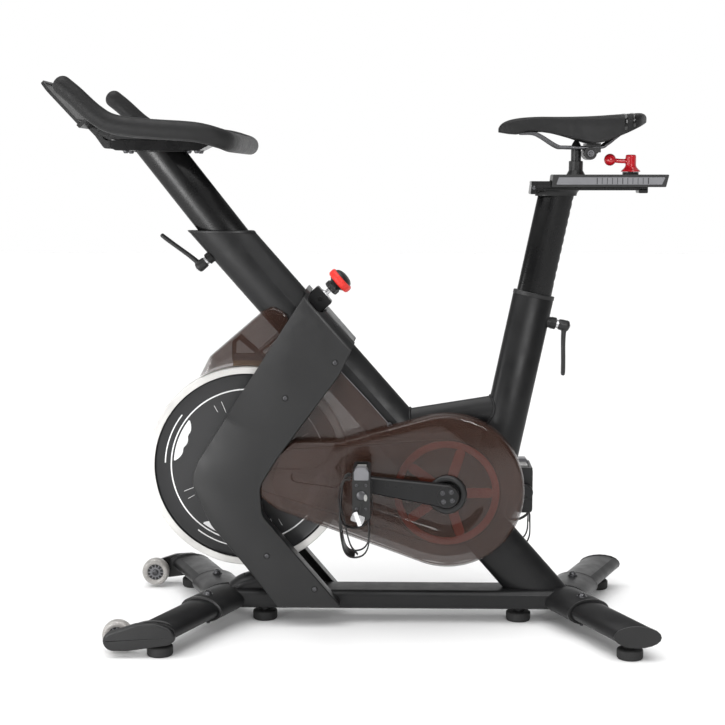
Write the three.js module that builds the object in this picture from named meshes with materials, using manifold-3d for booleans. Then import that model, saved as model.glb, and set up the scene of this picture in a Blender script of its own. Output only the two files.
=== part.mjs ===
// Indoor exercise bike. One sloping oval beam carries the handlebar post, a leaning seat tube and a
// belt-driven flywheel in a covered fork, and stands on a base tube with two V-shaped stabilisers.
// Millimetres. +Z is up, -X is the front, -Y is the rider's left. The floor is Z = 0, the bike's
// middle plane is Y = 0, and X = 0 is halfway along the bike.
import * as THREE from 'three';
import { mergeVertices } from 'three/addons/utils/BufferGeometryUtils.js';
import Module from 'manifold-3d';

const wasm = await Module();
wasm.setup();

// ---------------------------------------------------------------- driving dimensions

const GAP = 0.3; // clearance between pieces that touch
const TIDY = 0.04; // how far a surface may move when its slivers are merged
const ROUND = 20; // sides of an oval tube
const ARC_STEP = THREE.MathUtils.degToRad(24); // largest step along a rounded corner

const BEAM = {
  width: 100, thickness: 50, wall: 3, slope: 48.83, footX: 341.75, footZ: 94, mouthZ: 795, start: -60,
  length: 1080,
};
const SEAT_TUBE = { width: 82, thickness: 50, wall: 3, lean: 11.8, topX: 352.5, topZ: 670, length: 470 };
const BRACE = { height: 60, width: 36, wall: 3, rise: 9.2, x: 134.8, z: 413.4 };
const BASE = { width: 80, height: 39, wall: 2.5, corner: 12, z: 50, frontX: -275, rearX: 400 };
const ARM = { width: 80, height: 40, wall: 2.5, sweep: 24, z: 48, start: 30, endY: 264.5 };
const SLEEVE = { width: 94, height: 50, bore: 0.5, length: 113 };
const FRONT_APEX_X = -263;
const REAR_APEX_X = 414;

const FOOT = { radius: 25, cup: 20, nut: 13, stud: 5, y: 242, frontX: -370.7, rearX: 521.7 };
const MIDDLE_FEET_X = { front: -190.6, rear: 329.8 };
const WHEEL = { x: -453, z: 35, y: 230, radius: 30, width: 24, axle: 4 };
const END_CAP = { outerY: 270, innerY: 249, nose: 22 };

const FLYWHEEL = { x: -222, z: 320.5, radius: 204.7, rim: 14.7, rimHalf: 16, webHalf: 8, hub: 28 };
const AXLE_RADIUS = 6;
const CRANK = { x: 180, z: 275, length: 170, rise: 8.5, hub: 24, tip: 16, innerY: 73, outerY: 88 };
const SPINDLE_RADIUS = 10;
const BRACKET_SHELL = { radius: 22.5, half: 34 };
const BELT = {
  large: 105, small: 32, thickness: 3, slack: 0.8, innerY: 39, outerY: 51, step: THREE.MathUtils.degToRad(10),
};
const PEDAL = { innerY: 98, outerY: 194, length: 96, thickness: 34, spindle: 7 };

const FORK = { innerY: 54, outerY: 61, width: 36 };
const COVER = { innerY: 36, outerY: 70, wall: 2.5 };
const GUARD = { innerY: 34, outerY: 66, wall: 2.5, radius: 156, centreZ: 280, hole: 26 };
const SHROUD = { innerY: 30.5, outerY: 33 };
const HOOD = { half: 33, wall: 2.5 };

const BRAKE = { u: 701.8, rod: 5, padGap: 2.2, half: 14, pivotU: 655, pivotN: -64, pin: 3.6 };
const CLAMP_SCREW = { radius: 5, hole: 5.5, beamU: 908, seatDown: 48 };
const POST = { width: 80, thickness: 40, wall: 2.5, slope: 52, mouthX: -266.4, topZ: 955, inside: 110 };
const SEAT_POST = { width: 70, thickness: 38, wall: 2.5, topZ: 866, inside: 150 };
const BAR_PLATE = { frontX: -485, rearX: -289, half: 45, bottomZ: 955, topZ: 975 };
const RAIL = { frontX: 341, rearX: 572, half: 20, bottomZ: 877, topZ: 895 };
const CARRIAGE = { frontX: 384, rearX: 611.7, half: 29, bottomZ: 883.5, topZ: 908 };
const PIN = { x: 432, radius: 10, topZ: 976 };
const CLAMP = { x: 457, z: 949, radius: 12.5, half: 28 };
const RAIL_WIRE = { radius: 3.5, y: 22, z: 961 };
const LEVER = { x: 540, screw: 5, hub: 10.5, ball: 12, reach: 41, z: 937 };

// ---------------------------------------------------------------- directions and places

const rad = THREE.MathUtils.degToRad;
const point = (x, y, z) => new THREE.Vector3(x, y, z);
const ACROSS = point(0, 1, 0);
const UP = point(0, 0, 1);
const SIDES = { left: -1, right: 1 };

const BEAM_UP = point(-Math.cos(rad(BEAM.slope)), 0, Math.sin(rad(BEAM.slope)));
const BEAM_NORMAL = point(Math.sin(rad(BEAM.slope)), 0, Math.cos(rad(BEAM.slope)));
const POST_UP = point(-Math.cos(rad(POST.slope)), 0, Math.sin(rad(POST.slope)));
const SEAT_UP = point(Math.sin(rad(SEAT_TUBE.lean)), 0, Math.cos(rad(SEAT_TUBE.lean)));
const SEAT_BACK = point(Math.cos(rad(SEAT_TUBE.lean)), 0, -Math.sin(rad(SEAT_TUBE.lean)));
const SEAT_TOP = point(SEAT_TUBE.topX, 0, SEAT_TUBE.topZ);
const CRANK_OUT = point(-Math.cos(rad(CRANK.rise)), 0, Math.sin(rad(CRANK.rise)));

// A place on the beam: u along it from its foot, n away from its centreline, upwards and back.
function onBeam(u, n, y = 0) {
  return point(BEAM.footX, y, BEAM.footZ).addScaledVector(BEAM_UP, u).addScaledVector(BEAM_NORMAL, n);
}

// A place on the seat tube: down from its mouth, and back from its centreline.
function onSeatTube(down, back, y = 0) {
  return SEAT_TOP.clone().addScaledVector(SEAT_UP, -down).addScaledVector(SEAT_BACK, back).setY(y);
}

// The direction of a stabiliser arm: lengthwise is -1 at the front and 1 at the rear.
function armDirection(lengthwise, side) {
  return point(lengthwise * Math.sin(rad(ARM.sweep)), side * Math.cos(rad(ARM.sweep)), 0);
}

// ---------------------------------------------------------------- solids

function solidOf(geometry) {
  const bare = geometry.index ? geometry.toNonIndexed() : geometry.clone();
  bare.deleteAttribute('normal');
  bare.deleteAttribute('uv');
  const merged = mergeVertices(bare, 1e-4);
  const vertProperties = merged.attributes.position.array;
  const triVerts = new Uint32Array(merged.index.array);
  return new wasm.Manifold(new wasm.Mesh({ numProp: 3, vertProperties, triVerts }));
}

function geometryOf(solid) {
  const { vertProperties, triVerts } = solid.simplify(TIDY).getMesh();
  const geometry = new THREE.BufferGeometry();
  geometry.setAttribute('position', new THREE.BufferAttribute(vertProperties, 3));
  geometry.setIndex(new THREE.BufferAttribute(triVerts, 1));
  return geometry;
}

function join(first, ...others) {
  return geometryOf(others.map(solidOf).reduce((body, other) => body.add(other), solidOf(first)));
}

function cut(first, ...tools) {
  return geometryOf(tools.map(solidOf).reduce((body, tool) => body.subtract(tool), solidOf(first)));
}

function common(a, b) {
  return geometryOf(solidOf(a).intersect(solidOf(b)));
}

// ---------------------------------------------------------------- outlines

// A closed outline through corners [x, y, radius], each rounded by its radius, moved inwards by inset.
function outline(corners, inset = 0) {
  const points = corners.map(([x, y]) => new THREE.Vector2(x, y));
  const count = points.length;
  const winding = Math.sign(THREE.ShapeUtils.area(points));
  const edges = points.map((p, i) => points[(i + 1) % count].clone().sub(p).normalize());
  const inward = (edge) => new THREE.Vector2(-edge.y, edge.x).multiplyScalar(winding);
  const result = [];
  points.forEach((corner, i) => {
    const before = edges[(i - 1 + count) % count];
    const after = edges[i];
    const shift = inward(before).add(inward(after));
    const moved = corner.clone().addScaledVector(shift, inset / (1 + inward(before).dot(inward(after))));
    const turn = Math.atan2(before.cross(after), before.dot(after));
    const convex = turn * winding > 0;
    const radius = (corners[i][2] ?? 0) + (convex ? -inset : inset);
    if (!corners[i][2] || radius <= 0) {
      result.push(moved);
      return;
    }
    const start = moved.clone().addScaledVector(before, -radius * Math.tan(Math.abs(turn) / 2));
    const side = Math.sign(turn);
    const centre = start.clone().add(new THREE.Vector2(-before.y, before.x).multiplyScalar(side * radius));
    const steps = Math.ceil(Math.abs(turn) / ARC_STEP);
    for (let k = 0; k <= steps; k++) {
      result.push(start.clone().rotateAround(centre, (turn * k) / steps));
    }
  });
  return result.filter((p, i) => p.distanceTo(result[(i + 1) % result.length]) > 0.01);
}

function ellipse(width, height, sides = ROUND) {
  return Array.from({ length: sides }, (_, i) => {
    const angle = (2 * Math.PI * i) / sides;
    return new THREE.Vector2((width / 2) * Math.cos(angle), (height / 2) * Math.sin(angle));
  });
}

// The loop round two circles {x, y, r}, as a belt or a tapered lever has it.
function loopAround(a, b, step = ARC_STEP) {
  const along = new THREE.Vector2(b.x - a.x, b.y - a.y);
  const heading = along.angle();
  const lean = Math.acos((a.r - b.r) / along.length());
  const arc = (circle, from, to) => {
    const steps = Math.ceil(Math.abs(to - from) / step);
    return Array.from({ length: steps + 1 }, (_, k) => {
      const angle = from + ((to - from) * k) / steps;
      return new THREE.Vector2(circle.x + circle.r * Math.cos(angle), circle.y + circle.r * Math.sin(angle));
    });
  };
  const front = arc(a, heading + lean, heading + 2 * Math.PI - lean);
  return front.concat(arc(b, heading - lean, heading + lean));
}

// ---------------------------------------------------------------- pieces from outlines

// A side-plane outline (x along the bike, y upwards) extruded across the bike from y0 to y1.
function slab(points, y0, y1) {
  const options = { depth: y1 - y0, bevelEnabled: false };
  const geometry = new THREE.ExtrudeGeometry(new THREE.Shape(points), options);
  return geometry.rotateX(Math.PI / 2).translate(0, y1, 0);
}

// The same on one side of the bike: inner and outer are distances from the middle plane.
function sideSlab(points, side, inner, outer) {
  return side < 0 ? slab(points, -outer, -inner) : slab(points, inner, outer);
}

// Turns a piece built along +Z so that +Z lies along axis and +Y along across, and moves it to origin.
function orient(geometry, origin, axis, across = ACROSS) {
  const z = axis.clone().normalize();
  const x = across.clone().cross(z).normalize();
  const y = z.clone().cross(x);
  return geometry.applyMatrix4(new THREE.Matrix4().makeBasis(x, y, z).setPosition(origin));
}

// A straight bar of any section. A hole makes it a tube.
function bar(points, origin, axis, length, across = ACROSS, hole = undefined) {
  const shape = new THREE.Shape(points);
  if (hole) shape.holes.push(new THREE.Path(hole));
  const geometry = new THREE.ExtrudeGeometry(shape, { depth: length, bevelEnabled: false });
  return orient(geometry, origin, axis, across);
}

function ovalTube(width, thickness, wall, origin, axis, length, across = ACROSS) {
  const hole = ellipse(width - 2 * wall, thickness - 2 * wall);
  return bar(ellipse(width, thickness), origin, axis, length, across, hole);
}

function rod(radius, origin, axis, length, sides = 16) {
  return orient(new THREE.CylinderGeometry(radius, radius, length, sides).rotateX(Math.PI / 2)
    .translate(0, 0, length / 2), origin, axis, Math.abs(axis.y) > 0.9 ? UP : ACROSS);
}

function box(x0, x1, y0, y1, z0, z1) {
  return new THREE.BoxGeometry(x1 - x0, y1 - y0, z1 - z0)
    .translate((x0 + x1) / 2, (y0 + y1) / 2, (z0 + z1) / 2);
}

// A turned piece about +Z from [radius, height] pairs; a ring's profile comes back to its first point.
function turned(profile, sides = 24) {
  const points = profile.map(([r, h]) => new THREE.Vector2(r, h));
  const lathe = (order) => new THREE.LatheGeometry(order, sides).rotateX(Math.PI / 2);
  const geometry = lathe(points);
  return solidOf(geometry).volume() > 0 ? geometry : lathe(points.slice().reverse());
}

function ring(profile, sides) {
  return turned([...profile, profile[0]], sides);
}

// A turned piece on a crosswise axis at x and z, with its heights measured along +Y.
function onAxle(geometry, x, z, y = 0) {
  return orient(geometry, point(x, y, z), ACROSS, UP);
}

// ---------------------------------------------------------------- materials

const FINISHES = {
  framePaint: { color: 0x1c1c1d, roughness: 0.5, metalness: 0.3 },
  glossPaint: { color: 0x101011, roughness: 0.22, metalness: 0.3 },
  blackPlastic: { color: 0x1f1f20, roughness: 0.6, metalness: 0 },
  smokedPlastic: { color: 0x6b5346, roughness: 0.15, metalness: 0 },
  rubber: { color: 0x161616, roughness: 0.85, metalness: 0 },
  clearTyre: { color: 0xb9b4ab, roughness: 0.5, metalness: 0 },
  castIron: { color: 0x202021, roughness: 0.45, metalness: 0.6 },
  steel: { color: 0x9a9a9a, roughness: 0.3, metalness: 1 },
  redPlastic: { color: 0xc3202c, roughness: 0.35, metalness: 0 },
  felt: { color: 0x8a6a3c, roughness: 0.95, metalness: 0 },
  foam: { color: 0x242425, roughness: 0.8, metalness: 0 },
};

const bike = new THREE.Group();

function add(name, finish, geometry) {
  const mesh = new THREE.Mesh(geometry, new THREE.MeshStandardMaterial(FINISHES[finish]));
  mesh.name = name;
  bike.add(mesh);
}

// ---------------------------------------------------------------- welded frame

const beamBody = (grow = 0) => bar(ellipse(BEAM.width + 2 * grow, BEAM.thickness + 2 * grow),
  onBeam(BEAM.start, 0), BEAM_UP, BEAM.length);
const brakePivot = onBeam(BRAKE.pivotU, BRAKE.pivotN);

function mainBeam() {
  const tube = ovalTube(BEAM.width, BEAM.thickness, BEAM.wall, onBeam(BEAM.start, 0), BEAM_UP,
    BEAM.length);
  const kept = box(-600, 600, -60, 60, BASE.z + BASE.height / 2 + GAP, BEAM.mouthZ);
  const clampBoss = rod(11, onBeam(CLAMP_SCREW.beamU, -58), BEAM_NORMAL, 11);
  const ears = [-1, 1].map((side) => {
    const ear = outline([[0, -14, 8], [62, -14, 0], [62, 14, 0], [0, 14, 8]]);
    const origin = brakePivot.clone().addScaledVector(BEAM_NORMAL, -12);
    const plate = new THREE.ExtrudeGeometry(new THREE.Shape(ear), { depth: 4, bevelEnabled: false });
    const basis = new THREE.Matrix4().makeBasis(BEAM_NORMAL, BEAM_UP.clone().negate(), ACROSS);
    return plate.applyMatrix4(basis.setPosition(origin.setY(side > 0 ? 10 : -14)));
  });
  const hollow = beamBody(-BEAM.wall);
  const welded = join(common(tube, kept), clampBoss, ...ears.map((ear) => cut(ear, hollow)));
  return cut(
    join(welded, rod(BRAKE.pin, brakePivot.clone().setY(-12), ACROSS, 24, 12)),
    rod(BRACKET_SHELL.radius + GAP, point(CRANK.x, -60, CRANK.z), ACROSS, 120, 24),
    rod(BRAKE.rod + 2, onBeam(BRAKE.u, -80), BEAM_NORMAL, 160, 16),
    rod(CLAMP_SCREW.hole, onBeam(CLAMP_SCREW.beamU, -80), BEAM_NORMAL, 60, 12),
    sleeveBody(REAR_APEX_X, 1, GAP),
  );
}

const seatTubeBody = (grow = 0) => bar(
  ellipse(SEAT_TUBE.width + 2 * grow, SEAT_TUBE.thickness + 2 * grow),
  onSeatTube(SEAT_TUBE.length, 0), SEAT_UP, SEAT_TUBE.length);

// The seat tube with its brace to the beam and the welded boss of its clamp.
function seatTube() {
  const tube = ovalTube(SEAT_TUBE.width, SEAT_TUBE.thickness, SEAT_TUBE.wall,
    onSeatTube(SEAT_TUBE.length, 0), SEAT_UP, SEAT_TUBE.length);
  const rise = point(Math.cos(rad(BRACE.rise)), 0, Math.sin(rad(BRACE.rise)));
  const start = point(BRACE.x, 0, BRACE.z).addScaledVector(rise, -90);
  const brace = ovalTube(BRACE.height, BRACE.width, BRACE.wall, start, rise, 250);
  const boss = rod(11, onSeatTube(CLAMP_SCREW.seatDown, 38), SEAT_BACK, 12, 12);
  const welded = join(tube, cut(brace, seatTubeBody(-1.5)), boss);
  const screwHole = rod(CLAMP_SCREW.hole, onSeatTube(CLAMP_SCREW.seatDown, 20), SEAT_BACK, 60, 10);
  return cut(welded, beamBody(GAP), screwHole);
}

const sleeveBody = (apexX, lengthwise, grow) => {
  const half = (side) => bar(ellipse(SLEEVE.width + 2 * grow, SLEEVE.height + 2 * grow),
    point(apexX, 0, ARM.z).addScaledVector(armDirection(lengthwise, side), -18 - grow),
    armDirection(lengthwise, side), SLEEVE.length + 18 + 2 * grow, UP);
  return join(half(-1), half(1));
};

// A V-shaped centre sleeve, open at both mouths, which holds the two arms of a stabiliser.
function sleeve(apexX, lengthwise) {
  const bore = (side) => bar(ellipse(ARM.width + 2 * SLEEVE.bore, ARM.height + 2 * SLEEVE.bore),
    point(apexX, 0, ARM.z).addScaledVector(armDirection(lengthwise, side), -2),
    armDirection(lengthwise, side), SLEEVE.length + 20, UP);
  return cut(sleeveBody(apexX, lengthwise, 0), bore(-1), bore(1));
}

const baseSection = (grow = 0) => {
  const x = BASE.height / 2 + grow;
  const y = BASE.width / 2 + grow;
  const r = BASE.corner + grow;
  return outline([[-x, -y, r], [x, -y, r], [x, y, r], [-x, y, r]]);
};
const baseBody = (grow = 0) => bar(baseSection(grow), point(BASE.frontX, 0, BASE.z), point(1, 0, 0),
  BASE.rearX - BASE.frontX);

// The base tube with the short gusset that rises from the front sleeve under the flywheel.
function baseTube() {
  const tube = bar(baseSection(), point(BASE.frontX, 0, BASE.z), point(1, 0, 0),
    BASE.rearX - BASE.frontX, ACROSS, baseSection(-BASE.wall));
  const gusset = slab(outline([[-278, 66, 0], [-278, 76, 6], [-222, 102, 12], [-160, 102, 8],
    [-146, 66, 0]]), -24, 24);
  const studs = Object.values(MIDDLE_FEET_X).map((x) => rod(FOOT.stud + GAP, point(x, 0, 20), UP, 30, 16));
  return cut(join(tube, gusset), sleeveBody(FRONT_APEX_X, -1, GAP), sleeveBody(REAR_APEX_X, 1, GAP),
    ...studs);
}

function bottomBracket() {
  const { radius, half } = BRACKET_SHELL;
  const bore = SPINDLE_RADIUS + GAP;
  return onAxle(ring([[bore, -half], [radius, -half], [radius, half], [bore, half]]), CRANK.x, CRANK.z);
}

add('main_beam', 'framePaint', mainBeam());
add('seat_tube', 'framePaint', seatTube());
add('base_tube', 'framePaint', baseTube());
add('front_sleeve', 'framePaint', sleeve(FRONT_APEX_X, -1));
add('rear_sleeve', 'framePaint', sleeve(REAR_APEX_X, 1));
add('bottom_bracket', 'framePaint', bottomBracket());

// ---------------------------------------------------------------- stabilisers, feet, wheels

const armSolid = (apexX, lengthwise, side, grow) => bar(
  ellipse(ARM.width + 2 * grow, ARM.height + 2 * grow),
  point(apexX, 0, ARM.z).addScaledVector(armDirection(lengthwise, side), ARM.start),
  armDirection(lengthwise, side), 300, UP);

function stabiliserArm(apexX, lengthwise, side, footX) {
  const tube = ovalTube(ARM.width, ARM.height, ARM.wall,
    point(apexX, 0, ARM.z).addScaledVector(armDirection(lengthwise, side), ARM.start),
    armDirection(lengthwise, side), 300, UP);
  const kept = box(-700, 700, side < 0 ? -ARM.endY : 0, side < 0 ? 0 : ARM.endY, 0, 100);
  const studHole = rod(FOOT.stud + GAP, point(footX, side * FOOT.y, 20), UP, 30, 16);
  return cut(common(tube, kept), studHole);
}

// The end of an arm, cut along the bike, seen from the side.
const armEndX = (apexX, lengthwise) => apexX + lengthwise * Math.tan(rad(ARM.sweep)) * ARM.endY;
const armEndWidth = ARM.width / Math.cos(rad(ARM.sweep));

// A front end cap closes the arm and carries the axle of the transport wheel on its inner side.
function frontEndCap(side) {
  const end = ellipse(armEndWidth + 4, ARM.height + 3)
    .map((p) => p.add(new THREE.Vector2(armEndX(FRONT_APEX_X, -1), ARM.z)));
  const lobe = loopAround({ x: WHEEL.x, y: WHEEL.z, r: END_CAP.nose }, { x: -385, y: ARM.z, r: 20.8 });
  const { innerY, outerY } = END_CAP;
  const plate = join(sideSlab(end, side, innerY, outerY), sideSlab(lobe, side, innerY, outerY));
  const axleStart = point(WHEEL.x, side * (innerY + 2), WHEEL.z);
  const shank = rod(WHEEL.axle, axleStart, point(0, -side, 0), 36, 16);
  const head = rod(7, point(WHEEL.x, side * (WHEEL.y - WHEEL.width / 2 - 1), WHEEL.z),
    point(0, -side, 0), 5, 16);
  const footNut = rod(FOOT.nut + GAP, point(FOOT.frontX, side * FOOT.y, 0), UP, ARM.z);
  return join(cut(plate, armEndTip(FRONT_APEX_X, -1, side), footNut), shank, head);
}

// The hollow in the cap for the last stretch of the arm.
function armEndTip(apexX, lengthwise, side) {
  return common(armSolid(apexX, lengthwise, side, GAP),
    side < 0 ? box(-700, 700, -ARM.endY - GAP, 0, 0, 100) : box(-700, 700, 0, ARM.endY + GAP, 0, 100));
}

function rearEndCap(side) {
  const rim = ellipse(armEndWidth + 2, ARM.height + 2)
    .map((p) => p.add(new THREE.Vector2(armEndX(REAR_APEX_X, 1), ARM.z)));
  return sideSlab(rim, side, ARM.endY + GAP, ARM.endY + GAP + 4);
}

// A levelling foot: rubber cup, lock nut and threaded stud.
function levellingFoot(x, y, seatZ) {
  const { radius, cup, nut, stud } = FOOT;
  const top = seatZ - GAP;
  const profile = [[0, 0], [radius - 2, 0], [radius, 2], [radius, cup - 2], [radius - 3, cup], [nut, cup],
    [nut, top], [stud, top], [stud, top + 18], [0, top + 18]];
  return turned(profile, 16).translate(x, y, 0);
}

function transportWheel(side) {
  const { radius, width, axle } = WHEEL;
  const half = width / 2;
  const core = half - 5;
  const bore = axle + GAP;
  const profile = [[bore, -half + 2], [12, -half + 2], [12, -core], [23, -core], [23, -half],
    [radius - 2, -half], [radius, -half + 3], [radius, half - 3], [radius - 2, half], [23, half],
    [23, core], [12, core], [12, half - 2], [bore, half - 2]];
  return onAxle(ring(profile, 20), WHEEL.x, WHEEL.z, side * WHEEL.y);
}

const armBottom = ARM.z - ARM.height / 2;
const baseBottom = BASE.z - BASE.height / 2;
for (const [sideName, side] of Object.entries(SIDES)) {
  add(`arm_front_${sideName}`, 'framePaint', stabiliserArm(FRONT_APEX_X, -1, side, FOOT.frontX));
  add(`arm_rear_${sideName}`, 'framePaint', stabiliserArm(REAR_APEX_X, 1, side, FOOT.rearX));
  add(`end_cap_front_${sideName}`, 'blackPlastic', frontEndCap(side));
  add(`end_cap_rear_${sideName}`, 'blackPlastic', rearEndCap(side));
  add(`foot_front_${sideName}`, 'rubber', levellingFoot(FOOT.frontX, side * FOOT.y, armBottom));
  add(`foot_rear_${sideName}`, 'rubber', levellingFoot(FOOT.rearX, side * FOOT.y, armBottom));
  add(`wheel_${sideName}`, 'clearTyre', transportWheel(side));
}
for (const [place, x] of Object.entries(MIDDLE_FEET_X)) {
  add(`foot_middle_${place}`, 'rubber', levellingFoot(x, 0, baseBottom));
}

// ---------------------------------------------------------------- flywheel and belt drive

function flywheel() {
  const { radius, rim, rimHalf, webHalf, hub } = FLYWHEEL;
  const inner = radius - rim;
  const bore = AXLE_RADIUS + GAP;
  const profile = [[bore, -18], [hub, -18], [hub, -webHalf], [inner, -webHalf], [inner, -rimHalf],
    [radius, -rimHalf], [radius, rimHalf], [inner, rimHalf], [inner, webHalf], [hub, webHalf],
    [hub, 18], [bore, 18]];
  return onAxle(ring(profile, 48), FLYWHEEL.x, FLYWHEEL.z);
}

function flywheelPulley() {
  const bore = AXLE_RADIUS + GAP;
  const { small, innerY, outerY } = BELT;
  const profile = [[bore, -outerY], [small, -outerY], [small, -innerY], [18, -innerY], [18, -18 - GAP],
    [bore, -18 - GAP]];
  return onAxle(ring(profile, 20), FLYWHEEL.x, FLYWHEEL.z);
}

// The fixed axle with its two nuts outside the fork legs.
function flywheelAxle() {
  const nut = FORK.outerY + GAP;
  const end = nut + 5;
  const profile = [[0, -end], [11, -end], [11, -nut], [AXLE_RADIUS, -nut], [AXLE_RADIUS, nut], [11, nut],
    [11, end], [0, end]];
  return onAxle(turned(profile, 18), FLYWHEEL.x, FLYWHEEL.z);
}

function drivePulley() {
  const { large, innerY, outerY } = BELT;
  const bore = SPINDLE_RADIUS + GAP;
  const middle = -(innerY + outerY) / 2;
  const profile = [[bore, -outerY - 2], [26, -outerY - 2], [26, middle - 2], [large - 9, middle - 2],
    [large - 9, -outerY], [large, -outerY], [large, -innerY], [large - 9, -innerY],
    [large - 9, middle + 2], [26, middle + 2], [26, -innerY + 3], [bore, -innerY + 3]];
  return onAxle(ring(profile, 32), CRANK.x, CRANK.z);
}

function driveBelt() {
  const loop = (grow) => loopAround({ x: CRANK.x, y: CRANK.z, r: BELT.large + grow },
    { x: FLYWHEEL.x, y: FLYWHEEL.z, r: BELT.small + grow }, BELT.step);
  const outer = slab(loop(BELT.slack + BELT.thickness), -BELT.outerY + 1, -BELT.innerY - 1);
  return cut(outer, slab(loop(BELT.slack), -BELT.outerY, -BELT.innerY));
}

function crankSpindle() {
  const end = CRANK.outerY - 3;
  const collar = BRACKET_SHELL.half + GAP;
  const profile = [[0, -end], [SPINDLE_RADIUS, -end], [SPINDLE_RADIUS, collar], [16, collar],
    [16, collar + 6], [SPINDLE_RADIUS, collar + 6], [SPINDLE_RADIUS, end], [0, end]];
  return onAxle(turned(profile, 20), CRANK.x, CRANK.z);
}

// The crank arms point opposite ways. The pedal spindle is screwed into the arm's tip.
const crankTip = (side) => point(CRANK.x, 0, CRANK.z).addScaledVector(CRANK_OUT, -side * CRANK.length);

function crankArm(side) {
  const tip = crankTip(side);
  const { hub, innerY, outerY } = CRANK;
  const arm = sideSlab(loopAround({ x: CRANK.x, y: CRANK.z, r: hub }, { x: tip.x, y: tip.z, r: CRANK.tip }),
    side, innerY, outerY);
  const outward = point(0, side, 0);
  const boss = rod(18, point(CRANK.x, side * 56, CRANK.z), outward, innerY - 55, 24);
  const pin = rod(PEDAL.spindle, tip.setY(side * (innerY + 1)), outward, PEDAL.outerY - innerY - 8, 16);
  const bore = rod(SPINDLE_RADIUS + GAP, point(CRANK.x, side * 40, CRANK.z), outward, 46, 20);
  return cut(join(arm, boss, pin), bore);
}

// A cage pedal: a spindle barrel in a thick frame with a window on each side of it.
function pedal(side) {
  const { innerY, outerY, length, thickness } = PEDAL;
  const tip = crankTip(side);
  const x = thickness / 2;
  const z = length / 2;
  const body = outline([[-x, -z, 9], [x, -z, 9], [x, z, 9], [-x, z, 9]])
    .map((p) => p.add(new THREE.Vector2(tip.x, tip.z)));
  const middle = (side * (innerY + outerY)) / 2;
  const window = (low, high) => box(tip.x - 40, tip.x + 40, middle - 36, middle + 36, tip.z + low,
    tip.z + high);
  const bore = rod(PEDAL.spindle + GAP, point(tip.x, side * (innerY - 10), tip.z), point(0, side, 0),
    outerY - innerY + 20, 16);
  return cut(sideSlab(body, side, innerY, outerY), window(-z + 10, -14), window(14, z - 10), bore);
}

// The toe clip and its strap: a flat band that leaves the pedal's lower end and comes back to its front.
function toeClip(side) {
  const tip = crankTip(side);
  const band = (inset) => outline([[-17.4, -50, 4], [16, -50, 4], [15, -126, 14], [-34, -130, 22],
    [-44, -60, 24], [-40, 26, 12], [-17.4, 30, 3]], inset)
    .map((p) => p.add(new THREE.Vector2(tip.x, tip.z)));
  const middle = (PEDAL.innerY + PEDAL.outerY) / 2;
  return cut(sideSlab(band(0), side, middle - 30, middle + 30), sideSlab(band(3), side, 80, 220));
}

add('flywheel', 'castIron', flywheel());
add('flywheel_pulley', 'steel', flywheelPulley());
add('flywheel_axle', 'steel', flywheelAxle());
add('drive_pulley', 'castIron', drivePulley());
add('drive_belt', 'rubber', driveBelt());
add('crank_spindle', 'steel', crankSpindle());
for (const [sideName, side] of Object.entries(SIDES)) {
  add(`crank_${sideName}`, 'blackPlastic', crankArm(side));
  add(`pedal_${sideName}`, 'blackPlastic', pedal(side));
  add(`toe_clip_${sideName}`, 'rubber', toeClip(side));
}

// ---------------------------------------------------------------- fork legs, covers, guards

// A strip of even width along a path in the side plane.
function strip(path, width) {
  const points = path.map(([x, z]) => new THREE.Vector2(x, z));
  const half = width / 2;
  const edge = (sign) => points.map((p, i) => {
    const before = points[Math.max(i - 1, 0)];
    const after = points[Math.min(i + 1, points.length - 1)];
    const along = after.clone().sub(before).normalize();
    return p.clone().add(new THREE.Vector2(-along.y, along.x).multiplyScalar(sign * half));
  });
  return edge(1).concat(edge(-1).reverse());
}

function forkLeg(side) {
  const path = [[-52, 622], [-79.6, 575.8], [-228, 322], [-232, 270], [-196, 182], [-112, 66], [-106, 57]];
  const leg = sideSlab(strip(path, FORK.width), side, FORK.innerY, FORK.outerY);
  const topBlock = rod(24, point(-79.6, side * 10, 575.8), point(0, side, 0), FORK.innerY - 9, 20);
  const footBlock = sideSlab(outline([[-136, 46], [-92, 46], [-92, 64], [-136, 64]]), side, 30,
    FORK.innerY + 1);
  return cut(join(leg, cut(topBlock, beamBody(GAP)), cut(footBlock, baseBody(GAP))),
    rod(AXLE_RADIUS + GAP, point(FLYWHEEL.x, -80, FLYWHEEL.z), ACROSS, 160, 18));
}

const COVER_OUTLINE = [
  [-158, 41, 4], [-229.5, 133.8, 60], [-292, 210, 60], [-333, 300, 60], [-318, 340, 40],
  [-103, 672, 10], [-92, 689, 4], [1, 585, 6], [-34, 514, 60], [-158, 347, 60], [-193, 290, 40],
  [-190, 232, 40], [-30, 43, 4],
];

const GUARD_RIM = { top: 15.2, bottom: -20.1 };
const guardRight = CRANK.x + GUARD.radius;
const guardTangent = (angle) => point(CRANK.x + GUARD.radius * Math.cos(rad(angle)), 0,
  GUARD.centreZ + GUARD.radius * Math.sin(rad(angle)));
const topTangent = guardTangent(GUARD_RIM.top + 90);
const bottomTangent = guardTangent(GUARD_RIM.bottom - 90);
const guardTop = topTangent.z + (guardRight - topTangent.x) * Math.tan(rad(GUARD_RIM.top));
const guardBottom = bottomTangent.z + (guardRight - bottomTangent.x) * Math.tan(rad(GUARD_RIM.bottom));

// A teardrop: a big round end about the crank, and two straight sides that run to the fork. The round
// is 1 mm smaller than its circle, so that the arcs of the two right corners stay apart.
const guardRound = GUARD.radius - 1;
const GUARD_OUTLINE = [
  [-197, 268, 8], [-162, 239.5, 12], [guardRight, guardBottom, guardRound],
  [guardRight, guardTop, guardRound], [-35, 383, 20], [-128, 383, 20], [-197, 320, 12],
];

const guardBody = (side, grow) => sideSlab(outline(GUARD_OUTLINE, -grow), side, GUARD.innerY - grow,
  GUARD.outerY + grow);

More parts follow.
